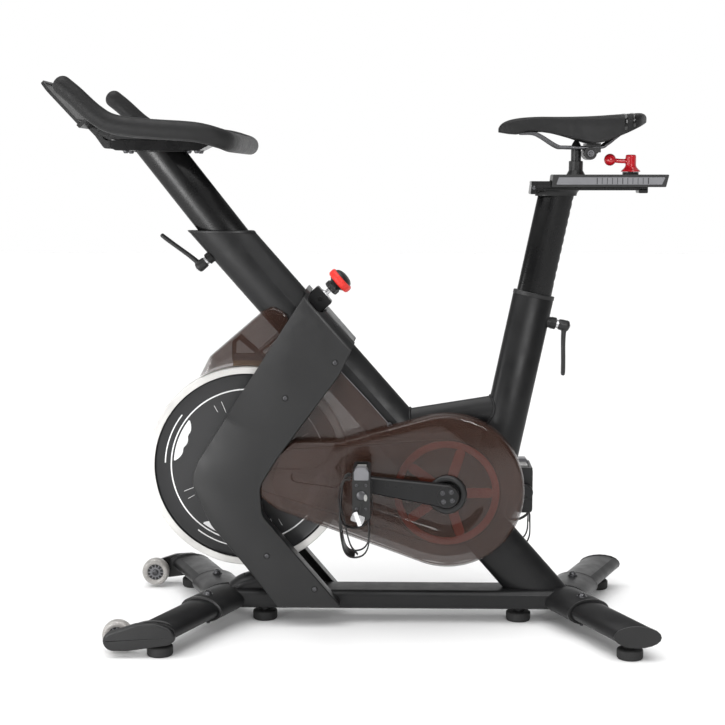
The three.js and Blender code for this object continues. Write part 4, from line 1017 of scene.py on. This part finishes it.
COVER = [(-158, 41, 4), (-229.5, 133.8, 60), (-292, 210, 60), (-333, 300, 60), (-318, 340, 40),
         (-103, 672, 10), (-94.6, 686.7, 4), (-1.6, 582.7, 6), (-34, 514, 60), (-158, 347, 60),
         (-193, 290, 40), (-190, 232, 40), (-30, 43, 4)]
GUARD_FRONT = [(-197, 268, 8), (-162, 239.5, 12)]
GUARD_TOP = [(-35, 383, 20), (-128, 383, 20), (-197, 320, 12)]


GUARD_RADIUS = 156
GUARD_REAR = 336


def guard_outline(inset):
    """A teardrop whose big end is nearly round about the crank. Its long sides slope to the front."""
    rear = []
    for slope, turn in ((-20.1, -1), (15.2, 1)):
        touching = rad(slope) + turn * TAU / 4
        x = 180 + GUARD_RADIUS * math.cos(touching)
        z = 280 + GUARD_RADIUS * math.sin(touching)
        rear.append((GUARD_REAR, z + (GUARD_REAR - x) * math.tan(rad(slope)), GUARD_RADIUS - 1))
    return outline(GUARD_FRONT + rear + GUARD_TOP, inset, rad(3))


def wedge(side):
    """What is planed off a cover's front strip. It fades out towards the cover's bend."""
    rows = []
    steps = 16
    top, bottom = Vector((-62, 0, 755)), Vector((-205, 0, 372))
    ahead = Vector((-0.84, 0, 0.54))
    for k in range(steps + 1):
        t = k / steps
        crease = top.lerp(bottom, t)
        depth = 15 * (1 - t ** 3)
        edge = crease + ahead * 110
        rows.append([crease + ACROSS * (side * 70.01), edge + ACROSS * (side * (70.01 - depth)),
                     edge + ACROSS * (side * 95), crease + ACROSS * (side * 95)])
    return skinned(rows)


def beam_slab(corners, side, a, b):
    """A side slab whose corners (u, n, radius) are given along the beam and square to it."""
    points = [on_beam(u, n) for u, n, _ in corners]
    return side_slab(outline([(p.x, p.z, c[2]) for p, c in zip(points, corners)]), side, a, b)


beam_solid = skinned([[on_beam(u, p[0], p[1]) for p in ellipse(100.6, 50.6, 64)] for u in (-60, 1020)])
SHOULDER = [(-1, 57.4), (46, 57.4), (53, 56.4), (59, 53.6), (64, 49.6), (67.6, 45), (69.6, 40.4), (70.4, 36),
            (95, 36), (95, 110), (-1, 110)]
COVER_SCREWS = ((-42.7, 540), (-141.5, 469), (-180.5, 149), (-85, 81))

for name, side in SIDES.items():
    out = ACROSS * side
    about_crank = facing(CRANK, out)

    def stack(shape, levels):
        """A loft of shape(inset) at each of the levels (inset, y) on this side."""
        return layered([(shape(inset), side * y) for inset, y in levels])

    cover_levels = [(0, 36), (0, 66.6), (0.5, 68.4), (1.6, 69.5), (3.2, 70)]
    cover = loose(f"cover_{name}", [stack(lambda inset: outline(COVER, inset + 0.01), cover_levels)])
    inner = stack(lambda inset: outline(COVER, inset), [(2.5, 30), (2.5, 56)])
    room = stack(guard_outline, [(-1.0, 30), (-1.0, 67)])
    base_room = side_slab(box_corners(-276, 401, 30, 69.9), side, 20, 40.4)
    carved(cover, "DIFFERENCE", wedge(side), inner, room, base_room)
    lip = [(594, 50.8, 1.2), (735, 50.8, 1.2), (735, 60.6, 1.2), (594, 62, 1.2)]
    carved(cover, "UNION", beam_slab(lip, side, 0.2, 66))
    shoulder = [[on_beam(u, n, side * y) for y, n in SHOULDER] for u in (575, 760)]
    notch = [(676, 90, 0), (676, 44, 16), (724.6, 44, 16), (724.6, 90, 0)]
    carved(cover, "DIFFERENCE", skinned(shoulder), beam_slab(notch, side, -1, 90))
    finish_piece(cover, "frame", "black_plastic", None, [f"fork_cover_{name}"], edge=0.5, angle=40, sharp=30)

    shell_levels = [(0.2, 34), (0.6, 44), (1.6, 56), (3.0, 61), (5.0, 64), (7.6, 65.4), (10.4, 66)]
    guard = loose(f"guard_shell_{name}", [stack(guard_outline, shell_levels)])
    hollow = stack(guard_outline, [(2.6, 30), (3.1, 44), (4.6, 54), (9, 57.6), (13, 58.2)])
    keyhole = stack(lambda t: loop_round((CRANK.x, CRANK.z + 2, 80 - t), (24, 300, 52 - t)),
                    [(0, 67), (0, 66.01), (3.0, 65.0), (12, 62.4), (17, 61.8)])
    slot = stack(lambda t: loop_round((-121.5, 309, 10.5 - t), (-44, 298, 10.5 - t)),
                 [(0, 67), (0, 66.01), (1.6, 62.4), (2.6, 61.8)])
    step = stack(lambda t: outline([(-220, 325, 0), (-90, 325, 12), (-60, 340, 12), (-30, 400, 0),
                                    (-220, 400, 0)], t), [(0, 67), (0, 66.01), (1.4, 64.2)])
    hole = lathe([(0, 40), (27, 40), (27, 80), (0, 80)], 64, about_crank)
    mouth = side_slab(box_corners(-215, -150, 255, 378), side, 30, 62)
    carved(guard, "DIFFERENCE", hollow, keyhole, slot, step, hole, mouth)
    finish_piece(guard, "frame", "smoked_plastic", None, [f"guard_{name}"], edge=0.6, angle=30, sharp=26)
    keep(f"inner_shroud_{name}", "smoked_plastic")

    ring = lathe([(26.2, 58), (26.2, 66.6), (28, 69.2), (31, 70), (35.5, 69.6), (38.6, 67.4), (39.4, 64.8),
                  (37, 62), (30, 58), (26.2, 58)], 96, about_crank)
    piece(f"crank_ring_{name}", [ring], "frame", "black_plastic", sharp=40)
    shapes = []
    # Each cover screw sits on a near-black disc wider than its head: painted shade standing in for the dark
    # of the screw's hole.
    for px, pz in COVER_SCREWS:
        shapes += [(lathe([(0, 69.2), (6.8, 69.2), (6.8, 70.15), (6.2, 70.25), (0, 70.25)], 36,
                          facing((px, 0, pz), out)), 0),
                   (screw_head((px, side * 70.2, pz), out, 4.6, 2.2), 1)]
    shapes.append((screw_head((65, side * 33.2, 410), out, 5.2, 2.4), 1))
    piece(f"cover_screws_{name}", shapes, "frame", "black_plastic", ["ink", "dark_steel"], sharp=30)
    # A thin light-grey line along the inner shroud's edge: a painted highlight where the smoked edge catches
    # the light.
    shroud_highlight_line = [(-35, side * 33.1, 520.6), (21, side * 33.1, 460), (65, side * 33.1, 410)]
    piece(f"shroud_edge_highlight_{name}", [sweep(shroud_highlight_line, ellipse(1.4, 1.0, 10), up=UP)], "frame", "smoked_plastic",
          ["scale_grey"])

HOOD = [(-318, 503, 3), (-296, 546, 14), (-190, 637, 8), (-169, 648, 13), (-138, 634, 14), (-128, 585, 3),
        (-130, 500, 3)]


def both_sides(corners, levels):
    """A loft across the whole bike, with the same levels (inset, y) on both sides."""
    mirrored = [(inset, -y) for inset, y in levels] + levels[::-1]
    return layered([(outline(corners, inset), y) for inset, y in mirrored])


hood_levels = [(9.0, 33.0), (5.2, 32.3), (2.6, 30.6), (0.9, 27.4), (0.1, 23.0)]
hood = loose("hood_shell", [both_sides(HOOD, hood_levels)])
inner_corners = [(x if x < -180 else x + 60, z - 60 if z < 540 else z, r) for x, z, r in HOOD]
room = both_sides(inner_corners, [(11.0, 30.6), (7.4, 29.8), (4.6, 27.4), (2.8, 23.0)])
wheel_room = lathe([(0, -60), (208.4, -60), (208.4, 60), (0, 60)], 128, basis(FLYWHEEL, ACROSS, UP))
carved(hood, "DIFFERENCE", room, wheel_room, beam_solid)
finish_piece(hood, "frame", "smoked_plastic", None, ["hood"], edge=0.5, angle=35, sharp=30)

# ---------------------------------------------------------------- brake and knob

keep("brake_rod", "steel", 0.5)
keep("brake_arm", "steel", 0.6, material="dark_steel")
keep("brake_pad", "felt", 0.8)

knob_at = basis(on_beam(BRAKE_ROD, 0), BEAM_NORMAL)
grips = lambda r: (lambda a: r - 0.5 * (0.5 + 0.5 * math.cos(24 * a)))
lobes = lambda r: (lambda a: r + 0.9 * math.cos(6 * a))
knob = lathe([(5.4, 86), (12, 86), (lobes(13.6), 87), (lobes(14.6), 89), (lobes(14.6), 96.6),
              (lobes(13.4), 98), (13, 99), (14.6, 101.4), (19, 104.6), (21.8, 107), (21.8, 119), (21, 122),
              (18.6, 125.4), (14, 128.2), (7, 130), (0, 130.5)], 96, knob_at)
piece("knob_core", [knob], "brake_knob", "black_plastic", None, ["brake_knob"], sharp=40)
ring = lathe([(21.9, 105.6), (23.4, 105.4), (25.6, 107), (grips(26.8), 109.6), (grips(26.8), 116.6),
              (25.8, 119.6), (23.8, 121.2), (21.9, 121.2), (21.9, 105.6)], 192, knob_at)
piece("knob_red_ring", [ring], "brake_knob", "red_plastic", ["knob_red"], ["knob_ring"], sharp=40)
piece("housing_screw", [(screw_head(on_beam(BRAKE_ROD, 62, -17), -ACROSS, 5.2, 2.4), 0),
                        (screw_head(on_beam(BRAKE_ROD, 62, 17), ACROSS, 5.2, 2.4), 0),
                        (lathe([(5.4, 74), (9.5, 74), (9, 76.4), (5.4, 76.8), (5.4, 74)], 36, knob_at), 1)],
      "frame", "black_plastic", ["ink", "steel"], sharp=30)

# ---------------------------------------------------------------- clamp levers


def lever_shapes(origin, out, along):
    """An L-shaped handle on a short screw, thick at the hub and flared at its tip."""
    out = Vector(out).normalized()
    across = (Vector(along) - out * Vector(along).dot(out)).normalized()
    hub_at = origin + out * 26
    m = basis(origin, out)
    screw = lathe([(0, 0), (4.6, 0), (5, 0.6), (5, 21), (8.6, 21), (8.6, 25), (0, 25)], 32, m)
    hub = lathe([(0, 24.6), (8.6, 24.6), (10.4, 26), (11, 30), (11, 42), (9.8, 46), (6, 47.8), (0, 48)],
                40, m)
    path = [hub_at + out * (12 + dx) + across * d
            for d, dx in ((2, 0), (14, 1.2), (30, 4), (50, 8.4), (70, 13), (86, 16.4), (97, 18.4))]
    line = spline(path, 5)
    sizes = spline([(16, 12, 0), (15, 10.4, 0), (14, 9.4, 0), (14, 9, 0), (15, 9, 0), (16.4, 9.2, 0),
                    (15, 8.6, 0)], 5)
    rings = []
    side = out.cross(across)
    for i, p in enumerate(line):
        tangent = (line[min(i + 1, len(line) - 1)] - line[max(i - 1, 0)]).normalized()
        normal = side.cross(tangent)
        w, h = sizes[i].x, sizes[i].y
        rings.append([p + side * (q[0] * w) + normal * (q[1] * h) for q in ellipse(1, 1, 28)])
    end = line[-1] + (line[-1] - line[-2]).normalized() * 2.2
    tip = [end + (q - line[-1]) * 0.6 for q in rings[-1]]
    handle = skinned([[line[0] - across * 3]] + rings + [tip, [end]])
    top = screw_head(hub_at + out * 21.6, out, 4.4, 1.8)
    return screw, hub, handle, top


for name, body, origin, out, along in (
        ("front", "clamp_lever_front", on_beam(FRONT_CLAMP, -39), -BEAM_NORMAL, BEAM_UP),
        ("seat", "clamp_lever_seat", on_seat_tube(SEAT_CLAMP, 36), SEAT_BACK, -SEAT_UP)):
    screw, hub, handle, top = lever_shapes(origin, out, along)
    grip = blended_form(loose(f"lever_grip_{name}", [hub, handle]), 1.0, 4)
    finish_piece(grip, body, "black_plastic", None, [f"clamp_lever_{name}"], sharp=60)
    piece(f"lever_screw_{name}", [screw, top], body, "steel", sharp=30)
    boss_ring = lathe([(5.6, 9), (11.6, 9), (11.9, 10), (11.9, 19), (10.8, 19.9), (5.6, 19.9), (5.6, 9)], 48,
                      basis(origin, out))
    piece(f"lever_boss_{name}", [boss_ring], "frame", "frame_paint", sharp=35)

# ---------------------------------------------------------------- handlebar

post_start = post_foot - POST_UP * 110
post_shapes = [tube(80, 40, 2.5, post_start, POST_UP, square_to(post_start, POST_UP, 0), level(957)),
               slab(outline([(-485, 975, 2), (-482, 959, 4), (-473, 955, 4), (-309, 955, 8), (-289, 965, 3),
                             (-289, 975, 2)]), -45, 45),
               bead(oval(80, 40, post_start, POST_UP, level(954.4), ACROSS, 40), 2.2)]
piece("bar_post", post_shapes, "handlebar_post", "gloss_paint", None, ["handlebar_post"], sharp=40)

half = [(-530, 250, 1069), (-508, 252, 1051), (-470, 254, 1017), (-436, 255, 999), (-375, 255, 991),
        (-290, 252, 985), (-246, 236, 974), (-232, 200, 968), (-229, 120, 967)]
bar_path = [(x, -y, z) for x, y, z in half] + half[::-1]
bar_line = spline(bar_path, 12)
side_bar = sweep(bar_line, ellipse(37, 34, 28), up=UP, rounded=16)
cross = sweep([(-430, -252, 996), (-430, -120, 997), (-432, 0, 998), (-430, 120, 997), (-430, 252, 996)],
              ellipse(44, 30, 28), up=Vector((1, 0, 0)))
deck = layered([(outline([(-484, 976, 4), (-484, 990, 6), (-440, 1006, 14), (-236, 984, 8), (-214, 968, 6),
                          (-236, 960, 5), (-288, 975.6, 4)], inset), y)
                for inset, y in ((4, -64), (1, -61), (0, -52), (0, 52), (1, 61), (4, 64))])
filler = slab(outline([(-508, 989, 4), (-486, 976, 2), (-434, 976, 2), (-434, 1000, 4), (-496, 1001, 6)]),
              -58, 58)
bars = blended_form(loose("handlebar_moulding", [side_bar, cross, deck, filler]), 2.4, 5)
carved(bars, "DIFFERENCE", slab(box_corners(-487, -287, 930, 975.3), -70, 70))
finish_piece(bars, "handlebar_post", "bar_foam", None, ["handlebar"], sharp=50)

# the parting bead along the underside of each side bar, and four bolts through the plate
seams = []
for side in (-1, 1):
    seam = [Vector((x, side * (y + 9.6), z - 14.2)) for x, y, z in half[:7]]
    seam[0] += Vector((-6, -side * 5, 2))
    seams.append(sweep(spline(seam, 10), ellipse(2.6, 1.6, 10), up=UP))
piece("bar_seams", seams, "handlebar_post", "bar_foam", ["black_plastic"])
plate_bolts = []
for px, py in ((-455, -30), (-455, 30), (-315, -30), (-315, 30), (-335, 0)):
    plate_bolts += [washer((px, py, 955.2), -UP, 7.5), screw_head((px, py, 954.4), -UP, 5.6, 5)]
piece("plate_bolts", plate_bolts, "handlebar_post", "gloss_paint", ["dark_steel"], sharp=30)

# The tray: a leaning plate with a raised border, a lip and rubber strips.
tray_axis = direction(180 - 47.1)
tray_normal = direction(90 - 47.1)
tray_foot = Vector((-529.5, 0, 1001.5))
tray_corners = [(-117.5, 0, 6), (-117.5, 88, 22), (-98, 112, 26), (98, 112, 26), (117.5, 88, 22),
                (117.5, 0, 6)]


def on_tray(points, z0, z1):
    return skinned([[tray_foot + ACROSS * p[0] + tray_axis * p[1] + tray_normal * z for p in points]
                    for z in (z0, z1)])


tray = loose("tray", [on_tray(outline(tray_corners), 0, 6.2)])
carved(tray, "DIFFERENCE", on_tray(outline(tray_corners, 5), 3.0, 8))
lip = slab(outline([(-534, 1002, 1.5), (-528, 995.6, 2), (-511.6, 1010, 2.4), (-516, 1014.6, 2.4)]),
           -117, 117)
bracket = slab(outline([(-531, 1001, 1), (-524, 1003, 2), (-508, 995, 8), (-494, 974, 9),
                        (-485.3, 974.4, 1.5), (-485.3, 958, 1.5), (-497, 959, 9), (-514, 983, 10)]), -38, 38)
carved(tray, "UNION", lip, bracket)
finish_piece(tray, "handlebar_post", "black_plastic", None, ["media_holder"], edge=0.9, angle=35)
strips = [on_tray(outline(box_corners(x0, x1, 5, 13, 2)), 3.0, 4.6) for x0, x1 in ((-100, -30), (30, 100))]
piece("tray_strips", strips, "handlebar_post", "rubber", None)

# ---------------------------------------------------------------- seat post and slider

mast_start = on_seat_tube(150, 0)
mast_top = Vector((352.5, 0, 670)) + SEAT_UP * (196 / SEAT_UP.z)
mast = loose("seat_mast_post", [tube(70, 38, 2.5, mast_start, SEAT_UP, square_to(mast_start, SEAT_UP, 0),
                                     level(880))])
carved(mast, "DIFFERENCE", *[rod(5.6, on_seat_tube(-196 + 18 * k, 26), SEAT_BACK, 14) for k in range(10)])
finish_piece(mast, "seat_post", "gloss_paint", None, ["seat_post"], edge=0.3, angle=40)
collar_rings = [[mast_top + Vector((p[0], p[1], z)) for p in ellipse(82 + g, 44 + g, 64)]
                for z, g in ((0, 0), (4, 1), (8, 5), (11.4, 12))]
head_shapes = [skinned(collar_rings)]
head_shapes += [slab(outline(corners), -half_width, half_width) for corners, half_width in (
    (box_corners(343, 572, 877, 895, 1.5), 20), (box_corners(346, 570, 881, 886, 2), 22),
    ([(341, 869.5, 2), (353, 869.5, 2), (354, 895, 2), (344, 895, 2)], 24),
    (box_corners(554, 572, 871.5, 880, 2), 20))]
piece("post_head", head_shapes, "seat_post", "gloss_paint", None, edge=0.6, sharp=40)
keep("slider_carriage", "black_plastic", 0.9)

strip = outline([(391, 888.5, 1.5), (597.5, 888.5, 1.5), (604, 902.6, 1.5), (396, 902.6, 1.5)])
border = outline([(387.5, 886, 2), (600, 886, 2), (607.6, 905.2, 2), (392, 905.2, 2)])
lines = []
for side in (-1, 1):
    lines += [(side_slab(strip, side, 28.6, 29.3), 0), (side_slab(border, side, 28.4, 29.12), 2)]
    for k in range(11):
        px = 470 + 10 * k
        mark = box_corners(px, px + (1.1 if k % 5 else 1.6), 889.4, 901.6)
        lines.append((side_slab(mark, side, 29.2, 29.5), 1))
piece("slider_scale", lines, "slider_carriage", "black_plastic", ["scale_grey", "ink", "black_plastic"])
rail_bolts = [screw_head((348, side * 24.2, 882), ACROSS * side, 4.2, 2.2) for side in (-1, 1)]
piece("rail_bolts", rail_bolts, "seat_post", "steel", ["dark_steel"], sharp=30)

lever_at = Matrix.Translation(Vector((540, 0, 0)))
skirt = lathe([(5.4, 913.4), (18.6, 913.4), (19.5, 914.2), (18, 916.4), (14.4, 919.4), (11.8, 922.6),
               (10.6, 926), (10.5, 944.6), (9.4, 946.3), (7.6, 947), (0, 947.2)], 48, lever_at)
stem = sweep([(536, 0, 934), (520, 0, 934.4), (508, 0, 935.6)], ellipse(10, 9, 24))
lever = blended_form(loose("slide_handle", [skirt, stem, ball((499, 0, 937), 12)]), 0.9, 4)
bore = lathe([(0, 900), (5.4, 900), (5.4, 926), (0, 926)], 32, lever_at)
carved(lever, "DIFFERENCE", bore)
finish_piece(lever, "slide_lever", "red_plastic", None, ["slide_lever"], sharp=50)

# ---------------------------------------------------------------- saddle

keep("saddle_clamp", "black_plastic", 0.8)
wire = [(322, 989), (346, 988.5), (362, 982), (392, 963.6), (410, 961), (474, 961), (490, 967.6), (506, 980),
        (518, 989)]
rails = []
for side in (-1, 1):
    line = [(x, side * (22 - 13 * max(0, 400 - x) / 82), z) for x, z in wire]
    rails.append((sweep(spline(line, 8), ellipse(7, 7, 20), rounded=3), 0))
tray_plan = [(304, -8, 6), (420, -14, 40), (470, -30, 30), (526, -34, 12), (526, 34, 12), (470, 30, 30),
             (420, 14, 40), (304, 8, 6)]
rails.append((plate(outline(tray_plan), 4, Matrix.Translation(Vector((0, 0, 991)))), 1))
piece("saddle_rails", rails, "saddle", "steel", ["dark_steel", "ink"], ["saddle_base"], sharp=40)


def ramp(x, start, end):
    """How far x is on the way from start to end, from 0 to 1."""
    return min(1, max(0, (x - start) / (end - start)))


def along(table, x):
    """A smooth reading of a table of (x, value) pairs."""
    for (x0, v0), (x1, v1) in zip(table, table[1:]):
        if x <= x1:
            t = ramp(x, x0, x1)
            return v0 + (v1 - v0) * t * t * (3 - 2 * t) if abs(v1 - v0) > 12 else v0 + (v1 - v0) * t
    return table[-1][1]


TOP = [(278, 998), (281, 1004), (288, 1010.5), (300, 1015), (316, 1018.2), (340, 1020.6), (362, 1021.6),
       (413, 1021), (450, 1021.2), (477, 1022), (519, 1024.6), (548, 1026.6), (558, 1026.4), (565, 1022),
       (567, 1017)]
SKIRT = [(278, 990), (300, 986.6), (318, 985.6), (324, 988.6), (330, 992), (354, 992), (385, 988), (416, 980),
         (440, 973), (458, 968.4), (467, 967.4), (478, 969.4), (500, 978), (522, 987), (545, 998),
         (558, 1004.5), (567, 1009.5)]
WIDE = [(278, 8), (281, 12), (288, 15.6), (300, 17.8), (330, 19.4), (370, 21), (395, 24), (415, 31),
        (440, 46), (462, 58), (490, 68.5), (512, 74.6), (528, 76), (540, 73), (550, 64), (558, 49), (564, 30),
        (567, 14)]


def saddle_section(x, grow=0.0):
    """Half of the saddle's section at x, from the middle of its top to the middle of its underside."""
    top, low, wide = along(TOP, x), along(SKIRT, x), along(WIDE, x)
    depth = top - low
    shoulder = min(depth * 0.36, 11)
    points = []
    for k in range(9):
        t = k / 8
        y = wide * 0.93 * t
        crown = shoulder * 0.42 * t ** 3.2
        channel = 2.6 * math.exp(-(y / 6.5) ** 2) * ramp(x, 330, 380) * ramp(x, 556, 536)
        wings = 2.2 * math.sin(math.pi * t) * ramp(x, 430, 490)
        points.append((y, top - crown - channel + wings * 0.4))
    for k in range(1, 8):
        t = k / 7
        y = wide * (0.93 + 0.07 * math.sin(min(1, t * 1.6) * math.pi / 2)) - depth * 0.10 * max(0, t - 0.4)
        z = top - shoulder * 0.42 - (depth - shoulder * 0.42 - 2.2) * (t ** 1.25)
        points.append((y, z))
    y, z = points[-1]
    points.append((y - 2.4, low))
    roof = min(top - 22, 994.8) if x < 552 else top - 12
    wall = min(max(wide - 9, 4), wide * 0.8)
    points.append((max(wall, 3), low + 1.2))
    points.append((max(wall - 1.5, 2.4), max(low + 2, min(roof, top - 12))))
    points.append((wall * 0.5, max(low + 2, min(roof + 0.4, top - 12))))
    if grow:
        points = [(y + grow * min(1, y / 6), z + grow * (1 if k < 12 else 0.4))
                  for k, (y, z) in enumerate(points)]
    return points


def saddle_rings(stations):
    rings = []
    for x in stations:
        half_section = saddle_section(x)
        roof = half_section[-1][1]
        right = [Vector((x, y, z)) for y, z in half_section[1:]]
        left = [Vector((x, -y, z)) for y, z in half_section[1:]]
        rings.append([Vector((x, 0, half_section[0][1]))] + right + [Vector((x, 0, roof))] + left[::-1])
    return rings


stations = [278, 279.5, 282, 286, 292] + [300 + 9 * k for k in range(28)] + [550, 556, 561, 565, 567]
saddle = loose("saddle_cushion", [skinned(saddle_rings(stations))])
divide = saddle.modifiers.new("subdivision", "SUBSURF")
divide.levels = 2
divide.render_levels = 2
modified(saddle)
finish_piece(saddle, "saddle", "saddle_cover", None, ["saddle"], sharp=60)


def inlay(x0, x1, side):
    """A glossy band that runs round the saddle's side, following its section."""
    rings = [[Vector((x, side * y, z)) for y, z in saddle_section(x, grow)[3:15]]
             for x, grow in ((x0, 0.7), ((x0 + x1) / 2, 1.3), (x1, 0.7))]
    back = [[Vector((p.x, p.y * 0.97, p.z - 1.2)) for p in ring] for ring in (rings[-1], rings[0])]
    return skinned([list(loop) for loop in zip(*(rings + back))])


inlays = [inlay(x0, x1, side) for x0, x1 in ((516, 521), (532.6, 537)) for side in (-1, 1)]
piece("saddle_inlays", inlays, "saddle", "saddle_cover", ["saddle_gloss"], sharp=60)
studs = [ball((535, side * 74.6, 1012.5), 1.8, 20) for side in (-1, 1)]
piece("saddle_studs", studs, "saddle", "saddle_cover", ["dark_steel"])
clamp_bits = []
for side in (-1, 1):
    at = Vector((457, side * 28, 949))
    clamp_bits += [hex_nut(at, ACROSS * side, 13, 5.5), rod(3.4, at, ACROSS * side, 8.4)]
piece("saddle_clamp_bolt", clamp_bits, "saddle", "steel", ["dark_steel"], sharp=30)

# ---------------------------------------------------------------- floor, light, camera

floor_corners = [Vector((x, y, 0)) for x, y in ((-9000, -7000), (9000, -7000), (9000, 14000), (-9000, 14000))]
floor = loose("floor", [(floor_corners, [(0, 1, 2, 3)])])
floor_look = Graph("floor_look")
floor_look.set(Base_Color=floor_look.blended(floor_look.ranged(floor_look.noise(3, 3), 0, 1),
                                             (0.86, 0.86, 0.86), (0.90, 0.90, 0.90)), Roughness=0.85)
floor.data.materials.append(floor_look.material)

world = bpy.data.worlds.new("studio")
bpy.context.scene.world = world
world.use_nodes = True
tree = world.node_tree


def world_range(value, from_low, from_high, low, high):
    made = tree.nodes.new("ShaderNodeMapRange")
    tree.links.new(value, made.inputs["Value"])
    for name, v in (("From Min", from_low), ("From Max", from_high), ("To Min", low), ("To Max", high)):
        made.inputs[name].default_value = v
    return made.outputs["Result"]


# A white wall behind the bike and a dimmer room above it and on the side it is seen from.
axes = tree.nodes.new("ShaderNodeSeparateXYZ")
tree.links.new(tree.nodes.new("ShaderNodeTexCoord").outputs["Generated"], axes.inputs[0])
glow = tree.nodes.new("ShaderNodeMath")
glow.operation = "MULTIPLY"
tree.links.new(world_range(axes.outputs["Z"], 0.14, 0.42, 1, 0.42), glow.inputs[0])
tree.links.new(world_range(axes.outputs["Y"], -0.5, 0.35, 0.14, 1), glow.inputs[1])
background = tree.nodes["Background"]
background.inputs["Color"].default_value = (1, 1, 1, 1)
tree.links.new(glow.outputs[0], background.inputs["Strength"])


def lamp(kind, name, at, target, power, **settings):
    data = bpy.data.lights.new(name, kind)
    data.energy = power
    for key, value in settings.items():
        setattr(data, key, value)
    light = bpy.data.objects.new(name, data)
    light.location = at
    light.rotation_euler = (Vector(target) - Vector(at)).to_track_quat("-Z", "Y").to_euler()
    bpy.context.scene.collection.objects.link(light)


lamp("SUN", "sky_panel", (-0.5, -0.7, 3), (0, 0, 0), 3.0, angle=rad(70))
lamp("AREA", "softbox", (1.05, -3.0, 1.75), (0, 0, 0.6), 34, shape="RECTANGLE", size=0.7, size_y=1.1)
lamp("AREA", "strip_box", (-1.75, -2.6, 0.5), (-0.25, 0, 0.35), 34, shape="RECTANGLE", size=0.6, size_y=0.8)
lamp("AREA", "side_box", (-2.9, -1.2, 1.3), (-0.1, 0, 0.5), 24, shape="RECTANGLE", size=0.8, size_y=1.6)

camera_data = bpy.data.cameras.new("camera")
camera_data.lens = 74.47
camera_data.sensor_width = 36
camera = bpy.data.objects.new("camera", camera_data)
camera.location = (0.077, -3.0, 0.913)
camera.rotation_euler = (rad(82.76), 0, rad(1.28))
bpy.context.scene.collection.objects.link(camera)
bpy.context.scene.camera = camera
bpy.context.scene.view_settings.view_transform = "Standard"
